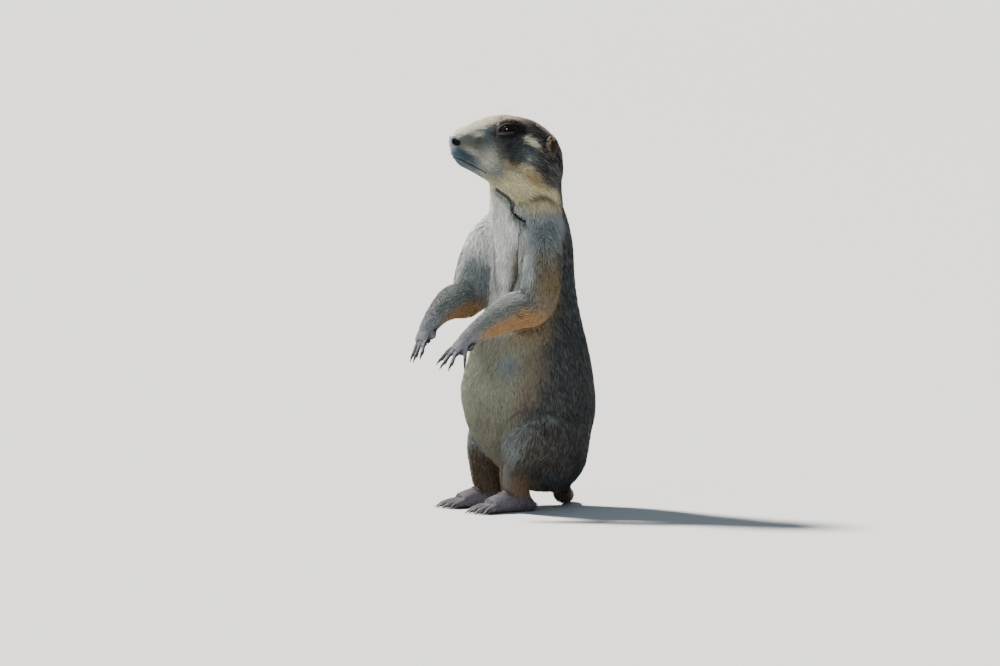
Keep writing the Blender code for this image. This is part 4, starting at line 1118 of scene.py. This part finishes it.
def make_skin():
    """The one skin of the animal, the tips of its fingers and toes, and the lines pressed into it."""
    obj, tips = whole_form()
    mesh = obj.data
    points, normals = read_mesh(mesh)
    points = points - normals * Fields(points, normals).size("depth")[:, None]
    write_points(mesh, points)
    back, side, height = head_place(read_rows(mesh.polygons, "center") / MM)
    split_finer(mesh, (back < 31) & (height > 240) & (np.abs(side) < 20))
    points, normals = read_mesh(mesh)
    points = head_shape(points, normals)
    write_points(mesh, points)
    tree = tree_of(mesh)
    mouth = mouth_line(tree)
    throat = [seen_line(tree, rows) for rows in PARTINGS]
    fold = seen_line(tree, ARM_FOLD)
    thigh = seen_line(tree, THIGH_FOLD)
    folds = [(line, deep, ARM_FOLD_WIDE)
             for line, deep in zip((fold, mirrored(tree, fold, CHEST_TURN)), ARM_FOLD_DEEP)]
    folds += [(line, THIGH_FOLD_DEEP, THIGH_FOLD_WIDE)
              for line in (thigh, mirrored(tree, thigh, HIP_TURN))]
    nostrils = [nostril_line(tree, side) for side in (1, -1)]
    points, normals = read_mesh(mesh)
    to_mouth = line_distance(points, mouth)
    lips = LIP_RISE * np.exp(-((to_mouth - LIP_AT) / LIP_WIDE) ** 2)
    lips = lips - MOUTH_DEEP * np.exp(-(to_mouth / MOUTH_WIDE) ** 2)
    points = points + normals * lips[:, None]
    presses = [(line, NOSTRIL_DEEP, NOSTRIL_WIDE, LINE_REACH) for line in nostrils]
    presses += [(line, deep, wide, 3 * wide) for line, deep, wide in folds]
    presses += [(line, PARTING_DEEP * dark, PARTING_WIDE, LINE_REACH)
                for line, dark in zip(throat, PARTING_DARK)]
    for line, deep, wide, reach in presses:
        distance = line_distance(points, line, reach)
        points = points - normals * (deep * np.exp(-(distance / wide) ** 2))[:, None]
    for which in (1, -1):
        points = open_eye(ear_cup(points, which), which)
    points[:, 2] = np.maximum(points[:, 2], FLOOR_CLEAR / MM)
    write_points(mesh, points)
    lines = {"mouth": mouth, "throat": throat, "folds": folds, "nostrils": nostrils}
    return obj, tips, lines


def made_mesh(name, verts, faces, material, colours):
    """An object from places in millimetres, faces, and a colour for each place."""
    mesh = bpy.data.meshes.new(name)
    sizes = [len(face) for face in faces]
    flat = np.concatenate(faces)
    mesh.vertices.add(len(verts))
    mesh.vertices.foreach_set("co", (np.asarray(verts) * MM).ravel())
    mesh.loops.add(len(flat))
    mesh.loops.foreach_set("vertex_index", flat.astype(np.int32))
    mesh.polygons.add(len(sizes))
    mesh.polygons.foreach_set("loop_start", np.concatenate([[0], np.cumsum(sizes)[:-1]]).astype(np.int32))
    mesh.update(calc_edges=True)
    paint(mesh, colours)
    mesh.shade_smooth()
    mesh.materials.append(material)
    return new_object(name, mesh)


def paint(mesh, colours):
    layer = mesh.color_attributes.new("Coat", "FLOAT_COLOR", "POINT")
    rgba = np.ones((len(mesh.vertices), 4), np.float32)
    rgba[:, :3] = colours
    layer.data.foreach_set("color", rgba.ravel())


low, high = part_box("eye_left")
SHIFT = (low + high) / 2 - head_point(EYE_BACK, EYE_SIDE, EYE_HEIGHT)


def settle_in(obj, slot, *nodes):
    """Moves a finished piece to the model's place, lets it ride on the body and replace its nodes."""
    obj.data.transform(Matrix.Translation(SHIFT))
    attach(obj, "root")
    if nodes:
        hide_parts(*nodes)


# Materials.


def set_inputs(node, values):
    for key, value in values.items():
        node.inputs[key].default_value = value
    return node


def new_material(name, values):
    """A material, its nodes and links, and its shader with some of its inputs set."""
    material = bpy.data.materials.new(name)
    material.use_nodes = True
    nodes = material.node_tree.nodes
    return material, nodes, material.node_tree.links, set_inputs(nodes["Principled BSDF"], values)


def cloud_values(nodes, links, noise_inputs, low, high):
    """A noise between two values, and its texture node."""
    cloud = set_inputs(nodes.new("ShaderNodeTexNoise"), noise_inputs)
    spread = set_inputs(nodes.new("ShaderNodeMapRange"), {"To Min": low, "To Max": high})
    links.new(cloud.outputs["Fac"], spread.inputs["Value"])
    return spread.outputs["Result"], cloud


def coat_material(name, roughness, sheen, grain, bump, more=()):
    """A rough procedural finish that takes its colour from the Coat attribute."""
    material, nodes, links, shader = new_material(name, {
        "Roughness": roughness, "Sheen Weight": sheen, "Sheen Roughness": 0.45,
        "Specular IOR Level": 0.16, **dict(more)})
    colour = nodes.new("ShaderNodeAttribute")
    colour.attribute_name = "Coat"
    place = nodes.new("ShaderNodeTexCoord")
    spread, cloud = cloud_values(nodes, links, {"Scale": grain, "Detail": 6}, 0.72, 1.28)
    links.new(place.outputs["Object"], cloud.inputs["Vector"])
    blend = nodes.new("ShaderNodeMix")
    blend.data_type = "RGBA"
    blend.blend_type = "MULTIPLY"
    blend.inputs["Factor"].default_value = 1
    links.new(colour.outputs["Color"], blend.inputs["A"])
    links.new(spread, blend.inputs["B"])
    links.new(blend.outputs["Result"], shader.inputs["Base Color"])
    if bump:
        fine = set_inputs(nodes.new("ShaderNodeTexNoise"), {"Scale": 2600, "Detail": 4})
        links.new(place.outputs["Object"], fine.inputs["Vector"])
        relief = set_inputs(nodes.new("ShaderNodeBump"), {"Strength": bump, "Distance": 0.0004})
        links.new(fine.outputs["Fac"], relief.inputs["Height"])
        links.new(relief.outputs["Normal"], shader.inputs["Normal"])
    return material


def floor_material(grey, roughness):
    material, nodes, links, shader = new_material("floor", {"Roughness": roughness})
    spread, _ = cloud_values(nodes, links, {"Scale": 6}, grey * 0.97, grey * 1.03)
    links.new(spread, shader.inputs["Base Color"])
    return material


# Lids, eyes, claws and whiskers.


def lid_patch(tree, side):
    """The lids of one eye: rings from the eyeball over the rim and a fold to the skin."""
    centre, out, back, up = eye_frame(side)
    verts, faces = [], []
    for cos, sin in circle(LID_STEPS):
        half_height = LID_HALF_HEIGHT if sin > 0 else LID_HALF_HEIGHT * LOWER_LID
        spoke = back * LID_HALF_LENGTH * cos + up * half_height * sin
        edge = math.sqrt(max(EYE_RADIUS ** 2 - spoke.length_squared, 0))
        end = centre + spoke * LID_RINGS[-1] + out * 30 * MM
        hit = tree.ray_cast(end, -out)[0]
        skin = (hit - centre).dot(out) - LID_TUCK
        for size in LID_RINGS:
            inner = math.sqrt(max(EYE_RADIUS ** 2 - (spoke * min(size, 1)).length_squared, 0))
            if size <= 1:
                depth = inner + (size - 0.93) * 9 * MM
            else:
                t = (size - 1) / (LID_RINGS[-1] - 1)
                ease = t * t * (3 - 2 * t)
                top = edge + (0.63 + 0.5 * math.sin(min(t * 4, 1) * math.pi / 2)) * MM
                depth = top + (skin - top) * ease
                depth -= LID_CREASE * math.exp(-((size - CREASE_AT) / CREASE_WIDE) ** 2)
            verts.append(list((centre + spoke * size + out * depth) / MM))
    count = len(LID_RINGS)
    for at in range(LID_STEPS):
        low, after = at * count, (at + 1) % LID_STEPS * count
        for ring in range(count - 1):
            quad = (low + ring, after + ring, after + ring + 1, low + ring + 1)
            faces.append(quad if side > 0 else quad[::-1])
    return verts, faces


def closed_tube(rings, sides, base=0):
    """Faces of a closed tube of rings of vertices, numbered from a base."""
    faces = []
    for low in range(base, base + (rings - 1) * sides, sides):
        for at in range(sides):
            after = (at + 1) % sides
            faces.append((low + at, low + after, low + sides + after, low + sides + at))
    last = base + (rings - 1) * sides
    return faces + [tuple(range(base, base + sides))[::-1], tuple(range(last, last + sides))]


def make_eyes():
    """Dark glossy eyes with a pupil, an iris and a swollen cornea."""
    material = coat_material("eye", 0.1, 0, 900, 0, {"Specular IOR Level": 0.25})
    ball_radius = EYE_RADIUS - 0.05 * MM
    iris, pupil, edge = linear(17, 12, 10), linear(5, 4, 4), linear(9, 7, 6)
    for side in (1, -1):
        centre, out, back, up = eye_frame(side)
        verts, faces, colours = [list((centre + out * (EYE_RADIUS + CORNEA)) / MM)], [], [pupil]
        for ring in range(1, EYE_RINGS):
            angle = math.pi * ring / EYE_RINGS
            swell = CORNEA * max(0, math.cos(angle)) ** 6
            for at in range(EYE_SPOKES):
                turn = 2 * math.pi * at / EYE_SPOKES
                way = back * math.cos(turn) + up * math.sin(turn)
                place = centre + (out * math.cos(angle) + way * math.sin(angle)) * (ball_radius + swell)
                verts.append(list(place / MM))
                size = math.sin(angle) * EYE_RADIUS / MM
                inner = float(step(*PUPIL_EDGE, size))
                outer = float(step(*IRIS_EDGE, size)) if angle < math.pi / 2 else 1.0
                streak = 1 + 0.25 * math.sin(turn * 23 + ring * 1.7)
                colours.append(mix(mix(pupil, iris * streak, inner), edge, outer))
        verts.append(list((centre - out * ball_radius) / MM))
        colours.append(edge)
        last = len(verts) - 1
        for at in range(EYE_SPOKES):
            after = (at + 1) % EYE_SPOKES
            faces.append((0, 1 + at, 1 + after))
            for ring in range(EYE_RINGS - 2):
                low = 1 + ring * EYE_SPOKES
                faces.append((low + at, low + EYE_SPOKES + at, low + EYE_SPOKES + after, low + after))
            low = 1 + (EYE_RINGS - 2) * EYE_SPOKES
            faces.append((last, low + after, low + at))
        if side < 0:
            faces = [face[::-1] for face in faces]
        name = f"eye_{SIDE_NAMES[side]}"
        obj = made_mesh(f"{name}_ball", verts, faces, material, np.array(colours))
        settle_in(obj, "eye_gloss", name)


def make_claws(tips):
    """Curved horn claws, deeper than wide, that taper to a blunt point."""
    more = {"Coat Weight": 0.15, "Coat Roughness": 0.3, "Specular IOR Level": 0.5}
    material = coat_material("claw", 0.42, 0, 700, 0.25, more)
    root_colour, tip_colour = linear(92, 82, 78), linear(24, 21, 21)
    for (limb, side), rows in tips.items():
        length = (HAND_CLAW if limb == "hand" else FOOT_CLAW) / MM
        for number, (tip, aim, up) in enumerate(rows, 1):
            tip, aim, up = (np.array(v) for v in (tip / MM, aim, up))
            across = np.cross(aim, up)
            across /= np.linalg.norm(across)
            lift = np.cross(across, aim)
            verts, colours = [], []
            for ring in range(CLAW_RINGS + 1):
                t = ring / CLAW_RINGS
                radius = CLAW_RADIUS / MM * (1 - CLAW_TAPER * t ** CLAW_TAPER_POWER)
                centre = tip + aim * (length * t - CLAW_SUNK / MM)
                centre = centre + up * (CLAW_LIFT - length * CLAW_DROP * t * t)
                for cos, sin in circle(CLAW_SIDES):
                    keel = 1 + CLAW_KEEL * max(0, sin)
                    verts.append(centre + across * radius * 0.82 * cos + lift * radius * 1.05 * keel * sin)
                    colours.append(mix(root_colour, tip_colour, min(1, 0.25 + t * 1.3)))
            name = f"{limb}_{SIDE_NAMES[side]}_claw_{number}"
            faces = closed_tube(CLAW_RINGS + 1, CLAW_SIDES)
            obj = made_mesh(f"{name}_horn", verts, faces, material, np.array(colours))
            settle_in(obj, "claw_horn", name)


def make_whiskers(tree):
    """Stiff tapering hairs from the pads of the muzzle, over the eyes and on the cheeks."""
    dice = np.random.default_rng(31)
    material = coat_material("whisker", 0.6, 0, 500, 0, {"Specular IOR Level": 0.5})
    verts, faces = [], []
    for side in (1, -1):
        for back, height, reach in WHISKERS:
            start = head_point(back * MM, side * 60 * MM, height * MM)
            aim = turned(HEAD_TURN, -side, 0, 0)
            hit, normal = tree.ray_cast(start, aim)[:2]
            if hit is None:
                continue
            root, normal = np.array(hit) / MM, np.array(normal)
            along = np.array(turned(HEAD_TURN, 0, 1, 0))
            way = unit((normal * 0.75 + along * 0.65 + dice.normal(0, 0.10, 3)
                        + np.array([0, 0, -0.12]))[None, :])[0]
            droop = np.array([0, 0, -1.0]) * dice.uniform(0.05, 0.16) + along * 0.10
            across = unit(np.cross(way, [0, 0, 1.0])[None, :])[0]
            over = np.cross(across, way)
            length = reach * dice.uniform(0.85, 1.1)
            faces += closed_tube(WHISKER_RINGS, WHISKER_SIDES, len(verts))
            for ring in range(WHISKER_RINGS):
                t = ring / (WHISKER_RINGS - 1)
                centre = root + way * length * t + droop * length * t * t - normal * 0.5 * (1 - t)
                radius = WHISKER_RADIUS * (1 - WHISKER_TAPER * t)
                verts += [centre + (across * cos + over * sin) * radius
                          for cos, sin in circle(WHISKER_SIDES)]
    colours = np.tile(linear(38, 32, 30), (len(verts), 1))
    obj = made_mesh("whiskers", verts, faces, material, colours)
    settle_in(obj, "crown")


# Coat.


def coat_pieces(fields):
    """The number of the piece that each tuft belongs to, and its place on that piece's unwrap."""
    names = list(PIECES)

    def by_side(name, side):
        return np.where(side > 0, names.index(f"{name}_left"), names.index(f"{name}_right"))

    height = fields.points[:, 2]
    front = np.abs(fields.azimuth) < 90
    chest = np.where(front, names.index("chest_front"), names.index("chest_back"))
    belly = np.where(front, by_side("belly_front", fields.azimuth), by_side("back", fields.azimuth))
    rump = np.where(front, names.index("loins"), names.index("rump"))
    piece = by_side("neck", fields.azimuth)
    for below, made in ((206, chest), (140, belly), (72, rump)):
        piece = np.where(height < below, made, piece)
    on_head = fields.head > 0.5
    head = np.where(fields.back < 40, by_side("face", fields.side), by_side("head", fields.side))
    piece = np.where(on_head, head, piece)
    middle = np.interp(fields.back, [row[0] for row in HEAD], [(row[1] + row[2]) / 2 for row in HEAD])
    roll = np.arctan2(fields.height - middle, fields.side) / (2 * math.pi)
    around = np.where(on_head, np.mod(roll + 0.25, 1), fields.azimuth / 360 + 0.5)
    along = np.where(on_head, fields.back / 90, height / 300)
    limbs = [("arm_left", fields.arm[1]), ("arm_right", fields.arm[-1]),
             ("leg_left", fields.leg[1]), ("leg_right", fields.leg[-1]), ("tail_coat", fields.tail)]
    for name, (weight, share, aim, nearest) in limbs:
        mine = (weight > 0.5) & (share > 0.1) & ~on_head
        spoke = fields.points - nearest
        east = unit(np.cross(aim, np.array([0.31, -0.52, 0.79])))
        north = np.cross(aim, east)
        roll = np.arctan2(np.sum(spoke * east, 1), np.sum(spoke * north, 1)) / (2 * math.pi) + 0.5
        piece = np.where(mine, names.index(name), piece)
        around = np.where(mine, roll, around)
        along = np.where(mine, share, along)
    return piece, np.stack([around, along], axis=1)


def sample_skin(mesh, points, rows, bare, dice):
    """Roots spread over the skin as its density says, with the value of each of the rows there."""
    mesh.calc_loop_triangles()
    corners = read_rows(mesh.loop_triangles, "vertices", np.int32)
    a, b, c = (points[corners[:, k]] for k in range(3))
    area = np.linalg.norm(np.cross(b - a, c - a), axis=1) / 2
    density = rows["density"] * ~bare
    wanted = area * density[corners].min(axis=1)
    total = np.cumsum(wanted)
    count = int(total[-1])
    picks = np.searchsorted(total, np.arange(count) + dice.uniform(0, 1, count))
    picks = picks[picks < len(corners)]
    u, v = dice.uniform(0, 1, (2, len(picks)))
    flip = u + v > 1
    u[flip], v[flip] = 1 - u[flip], 1 - v[flip]
    weights = np.stack([1 - u - v, u, v], axis=1)
    chosen = corners[picks]
    return {key: np.einsum("ij,ij...->i...", weights, value[chosen]) for key, value in rows.items()}


def tuft_colours(colour, grizzle, dice):
    """Root, band and tip colours of each tuft."""
    count = len(colour)
    lot = dice.uniform(0, 1, count)
    tone = dice.normal(1, 0.13, count)[:, None]
    # Roots are darker: partly the darker underfur, partly painted shade deep in the coat.
    root = colour * 0.78
    band = colour * tone
    tip = colour * 1.1 * tone
    dark = (lot < 0.40) & (dice.uniform(0, 1, count) < grizzle)
    pale = (lot > 0.74) & (dice.uniform(0, 1, count) < grizzle)
    plain = (lot < 0.10) & ~dark
    band[dark] *= 0.7
    tip[dark] = mix(tip[dark], BACK_DARK * 0.7, 0.8)
    band[pale] = mix(band[pale], BACK_PALE, 0.5)
    tip[pale] = mix(tip[pale], BACK_PALE * 1.15, 0.7)
    tip[plain] *= 0.85
    return np.clip(np.stack([root, band, tip], axis=1), 0, 1)


def make_coat(skin_mesh, lines, marks):
    """Solid tufts over the whole skin but where it is bare.

    The bare numbers are the spread of the random draws, as shares of each size.
    """
    dice = np.random.default_rng(7)
    points, normals = read_mesh(skin_mesh)
    fields = Fields(points, normals)
    rows = {"place": points, "normal": normals, "density": fields.size("density") * SHARE,
            "short": marks.short, "shade": marks.shade, "ears": marks.ears, "ear_colour": marks.ear_colour}
    tufts = sample_skin(skin_mesh, points, rows, marks.bare, dice)
    place, normal = tufts["place"], unit(tufts["normal"])
    count = len(place)
    fields = Fields(place, normal)
    stray = dice.normal(0, 1, (count, 3)) * mix(1.5, 0.8, fields.head)[:, None]
    colour, grizzle = Fields(place + stray, normal).colour()
    colour = colour * tufts["shade"][:, None]
    colour = tint(colour, tufts["ear_colour"], tufts["ears"])
    lie = fields.lie()
    angle = dice.normal(0, 0.09, count) + 0.13 * noise(place, 6.0, 12)
    across = np.cross(normal, lie)
    lie = unit(lie * np.cos(angle)[:, None] + across * np.sin(angle)[:, None])
    length = fields.size("length") * dice.uniform(0.72, 1.15, count) * tufts["short"]
    width = fields.size("width") * dice.uniform(0.7, 1.2, count)
    depth = fields.size("depth") * (0.9 + 0.14 * noise(place, 4.0, 13)) * dice.uniform(0.66, 1.06, count)
    depth = np.maximum(depth * np.minimum(tufts["short"] + 0.25, 1), 0.12)
    length = length * clear_share(place, lie, length, lines)
    tree = tree_of(skin_mesh)
    reach = place + lie * length[:, None]
    tip = np.empty((count, 3))
    for i in range(count):
        hit, out, _, _ = tree.find_nearest(Vector(reach[i] * MM))
        tip[i] = np.array(hit) / MM + np.array(out) * depth[i]
    piece, spot = coat_pieces(fields)
    material = coat_material("coat", 0.66, 0.06, 1400, 0)
    for index, name in enumerate(PIECES):
        mine = piece == index
        build_tufts(f"coat_{name}", PIECES[name], material, place[mine], normal[mine], lie[mine],
                    length[mine], width[mine], depth[mine], tip[mine],
                    tuft_colours(colour[mine], grizzle[mine], dice), spot[mine])


def clear_share(place, lie, length, lines):
    """How much of its length each tuft keeps, so that it stops at a dark parting, a fold or the mouth."""
    keep = np.ones(len(place))
    barred = [(line, 1.3) for line, dark in zip(lines["throat"], PARTING_DARK) if dark > 0.5]
    barred += [(line, 0.8) for line, _, _ in lines["folds"][:1]]
    for line, width in barred + [(lines["mouth"], 0.6)]:
        for share in (0.8, 0.6, 0.4, 0.2):
            distance = line_distance(place + lie * (length * share)[:, None], line, 3)
            crossing = distance < width
            keep[crossing] = np.minimum(keep[crossing], max(share - 0.12, 0.12))
    return keep


def build_tufts(name, slot, material, place, normal, lie, length, width, depth, tip, colours, spot):
    """One piece of the coat, as closed bent spikes of three sides."""
    count = len(place)
    root = place - normal * 0.3
    bend = place + lie * (length * 0.45)[:, None] + normal * (depth * 0.95)[:, None]
    across = unit(np.cross(normal, lie))
    verts, tones, unwrap = [], [], []
    # Each tuft's edges are painted a little darker and its ridge a little lighter, as painted light.
    corners = ((-1, -0.2, 0.93), (1, -0.2, 0.93), (0, 0.5, 1.05))
    for t, swell in ((0, 0.7), (0.55, 1.0)):
        centre = root * (1 - t) ** 2 + bend * (2 * t * (1 - t)) + tip * t * t
        half = (width * 0.5 * swell)[:, None]
        tone = colours[:, 1 if t else 0]
        for offset, rise, light in corners:
            verts.append(centre + across * half * offset + normal * half * rise)
            tones.append(tone * light)
            unwrap.append(spot + np.array([offset * TUFT_UNWRAP, -TUFT_UNWRAP + 2 * TUFT_UNWRAP * t]))
    verts.append(tip)
    tones.append(colours[:, 2])
    unwrap.append(spot + np.array([0, TUFT_UNWRAP]))
    each = len(verts)
    verts = np.stack(verts, axis=1)
    verts[:, :, 2] = np.maximum(verts[:, :, 2], FLOOR_CLEAR / MM)
    verts = verts.reshape(-1, 3)
    tones = np.clip(np.stack(tones, axis=1).reshape(-1, 3), 0, 1)
    unwrap = np.clip(np.stack(unwrap, axis=1).reshape(-1, 2) * 0.98 + 0.01, 0, 1)
    pattern = [(0, 1, 2)]
    for i, j in ((0, 1), (1, 2), (2, 0)):
        pattern += [(j, i, 3 + i), (j, 3 + i, 3 + j), (3 + j, 3 + i, 6)]
    faces = (np.arange(count)[:, None, None] * each + np.array(pattern)[None]).reshape(-1, 3)
    obj = made_mesh(name, verts, faces, material, tones)
    layer = obj.data.uv_layers.new(name="OFBake")
    layer.data.foreach_set("uv", unwrap[faces.ravel()].astype(np.float32).ravel())
    settle_in(obj, slot)


# The whole.


def add_lids(obj):
    """Thins the skin and joins the lids to its mesh; gives the number of their first vertex."""
    tree = tree_of(obj.data)
    lids = [lid_patch(tree, side) for side in (1, -1)]
    decimate = obj.modifiers.new("Decimate", "DECIMATE")
    triangles = sum(len(face.vertices) - 2 for face in obj.data.polygons)
    decimate.ratio = min(1.0, SKIN_TRIANGLES / triangles)
    settle(obj)
    shape = bmesh.new()
    shape.from_mesh(obj.data)
    first = len(shape.verts)
    for verts, faces in lids:
        made = [shape.verts.new(Vector(v) * MM) for v in verts]
        for face in faces:
            shape.faces.new([made[i] for i in face])
    shape.to_mesh(obj.data)
    shape.free()
    return first


class SkinMarks:
    """What is painted on the skin, painted shade included, where it is bare, and how the coat grows there.
    """

    def __init__(self, points, normals, lid_from):
        self.points = points
        self.fields = Fields(points, normals)
        # The skin is painted darker than the coat: partly the darker underfur, partly painted shade between
        # the tufts.
        self.colour = self.fields.colour()[0] * 0.84
        self.short = np.ones(len(points))
        self.shade = np.ones(len(points))
        self.bare = points[:, 2] < 1.6
        self.on_lid = np.arange(len(points)) >= lid_from
        self.ears = np.zeros(len(points))
        self.ear_colour = np.tile(EAR_RIM, (len(points), 1))

    def dye(self, colour, share):
        self.colour = tint(self.colour, colour, share)

    def eye(self, side):
        """Dark lids, with a short and dark coat round them."""
        local, _, _ = eye_place(self.points, side)
        near = (np.abs(local[:, 2]) < 16) & (self.points[:, 2] > 230) & (local[:, 2] > -4)
        size = np.where(near, almond(local[:, 0], local[:, 1]), 9)
        self.bare |= (size < 1.28) | ((size < 1.45) & ~self.on_lid)
        self.dye(LID * 0.7, 1 - step(1.5, 2.1, size))
        self.shade *= mix(0.22, 1.0, step(1.6, 2.3, size))
        self.short *= mix(0.35, 1.0, step(1.25, 2.2, size))

    def palm(self, side):
        """The bare dark underside of a hand."""
        wrist, ahead, _, up = hand_frame(side)
        along = in_frame(self.points, wrist, ahead)
        palm = self.fields.arm[side][0] * step(-3, 1, along)
        palm = palm * step(-0.1, -0.45, self.fields.normals @ np.array(up))
        self.dye(PAD_DARK, palm)
        self.bare |= palm > 0.4

    def mouth(self, line):
        # The line of the mouth is painted dark: partly the dark edge of the lips, partly painted shade in
        # the gap between them.
        distance = line_distance(self.points, line)
        self.dye(FACE_DARK * 0.4, 1 - step(0.5, 1.1, distance))
        self.bare |= distance < 0.95
        self.short *= mix(0.55, 1.0, step(0.8, 2.5, distance))

    def nose(self):
        height = self.fields.height
        on_nose = step(6.4, 4.6, self.fields.back) * step(264.5, 266.5, height) * step(275, 273.5, height)
        self.dye(NOSE, on_nose * self.fields.head)
        self.bare |= (on_nose * self.fields.head) > 0.5

    def nostril(self, line):
        # Painted shade inside the nostril's slit, and darker fur round it.
        distance = line_distance(self.points, line)
        self.dye(LID * 0.5, 1 - step(1.8, 2.7, distance))
        self.shade *= mix(0.25, 1.0, step(1.2, 3.0, distance))
        self.bare |= distance < 1.9

    def parting(self, line, dark):
        # Painted shade in the parting: dark skin and dark, shorter tufts along its line.
        distance = line_distance(self.points, line)
        near = dark * (1 - step(1.2 * dark, 2.4, distance))
        self.shade *= mix(1.0, 0.10, near)
        self.short *= mix(1.0, 0.55, near)
        self.bare |= distance < 0.8 * dark
        self.dye(FACE_DARK * 0.25, dark * (1 - step(1.5, 2.3, distance)))

    def parting_shadow(self, line):
        """Painted brown shadow along the second parting, under the cheek fur; it is thick in its middle."""
        across = self.points @ np.array(camera_axes()[0])
        thick = step(PARTING_THICK[0] - 8, PARTING_THICK[0], across)
        thick *= step(PARTING_THICK[1] + 3, PARTING_THICK[1] - 3, across)
        distance = line_distance(self.points, line) / (0.6 + 1.1 * thick)
        self.shade *= 1 - (0.36 + 0.34 * thick) * (1 - step(0.6, 1.9, distance))

    def fold(self, line, wide):
        # Painted shade in the fold in front of each arm.
        self.shade *= mix(0.55, 1.0, step(0.4, wide * 1.2, line_distance(self.points, line)))

    def ear(self, side):
        """The rim, the hollow and its pale front."""
        centre, turn = ear_frame(side)
        local = in_frame(self.points, centre, turn.to_3x3())
        scaled = local / (np.array(EAR_RADII) / MM)
        reach = np.sqrt(scaled[:, 1] ** 2 + scaled[:, 2] ** 2)
        on_ear = (reach < 1.1) & (local[:, 0] * side > -4) & (np.abs(local[:, 0]) < 9)
        hollow = on_ear & (reach < 0.66)
        self.colour[hollow] = EAR_INNER * 0.5
        self.short[on_ear] *= 0.45
        self.bare |= hollow & (reach < 0.3)
        self.ears = np.maximum(self.ears, on_ear * mix(1.0, 0.0, step(0.95, 1.1, reach)))
        self.ear_colour[on_ear & (reach > 0.72)] = EAR_RIM
        self.ear_colour[hollow] = EAR_INNER
        self.ear_colour[hollow & (scaled[:, 1] < -0.15)] = EAR_PALE


def finish_skin(obj, lines):
    """Adds the lids and paints the skin; gives where it is bare and how the coat grows on it."""
    lid_from = add_lids(obj)
    marks = SkinMarks(*read_mesh(obj.data), lid_from)
    for side in (1, -1):
        marks.eye(side)
        marks.palm(side)
    marks.mouth(lines["mouth"])
    marks.nose()
    for line in lines["nostrils"]:
        marks.nostril(line)
    for line, dark in zip(lines["throat"], PARTING_DARK):
        marks.parting(line, dark)
    marks.parting_shadow(lines["throat"][1])
    for line, _, wide in lines["folds"][:2]:
        marks.fold(line, wide)
    for side in (1, -1):
        marks.ear(side)
    paint(obj.data, np.clip(marks.colour, 0, 1))
    obj.data.shade_smooth()
    obj.data.materials.clear()
    obj.data.materials.append(coat_material("skin", 0.75, 0.0, 1800, 0.6))
    return marks


def make_animal():
    skin, tips, lines = make_skin()
    marks = finish_skin(skin, lines)
    make_coat(skin.data, lines, marks)
    make_whiskers(tree_of(skin.data))
    make_eyes()
    make_claws(tips)
    settle_in(skin, "breast", *FLESH)


def make_stage():
    """A pale floor that fills the picture."""
    shape = bmesh.new()
    bmesh.ops.create_grid(shape, x_segments=8, y_segments=8, size=60)
    mesh = bpy.data.meshes.new("floor")
    shape.to_mesh(mesh)
    shape.free()
    mesh.materials.append(floor_material(FLOOR_GREY, FLOOR_ROUGHNESS))
    new_object("floor", mesh)


def sun(name, right, toward):
    place, strength, spread, colour = SUNS[name]
    place = right * place[0] + toward * place[1] + UP * place[2]
    light = bpy.data.lights.new(name, "SUN")
    light.energy = strength
    light.angle = math.radians(spread)
    light.color = colour
    obj = new_object(name, light)
    obj.rotation_euler = place.to_track_quat("Z", "Y").to_euler()
    return obj


def make_light_and_camera():
    """Sunlight from behind and the left, a soft sky, a glint for the eyes, and the photo's view."""
    right, aim, rise = camera_axes()
    toward = Vector((aim.x, aim.y, 0)).normalized()
    target = SHIFT + right * TARGET_SEEN[0] * MM + rise * TARGET_SEEN[1] * MM
    camera_data = bpy.data.cameras.new("camera")
    camera_data.lens = CAMERA_LENS
    camera_data.sensor_width = CAMERA_SENSOR
    camera_data.clip_end = 60
    camera = new_object("camera", camera_data)
    camera.location = target + aim * CAMERA_DISTANCE
    camera.rotation_euler = (-aim).to_track_quat("-Z", "Y").to_euler()
    bpy.context.scene.camera = camera
    sun("key", right, toward)
    sun("fill", right, toward).visible_glossy = False
    sun("catch", right, toward).visible_diffuse = False
    world = bpy.data.worlds.new("world")
    world.use_nodes = True
    set_inputs(world.node_tree.nodes["Background"], {"Color": SKY, "Strength": SKY_STRENGTH})
    bpy.context.scene.world = world


make_animal()
make_stage()
make_light_and_camera()
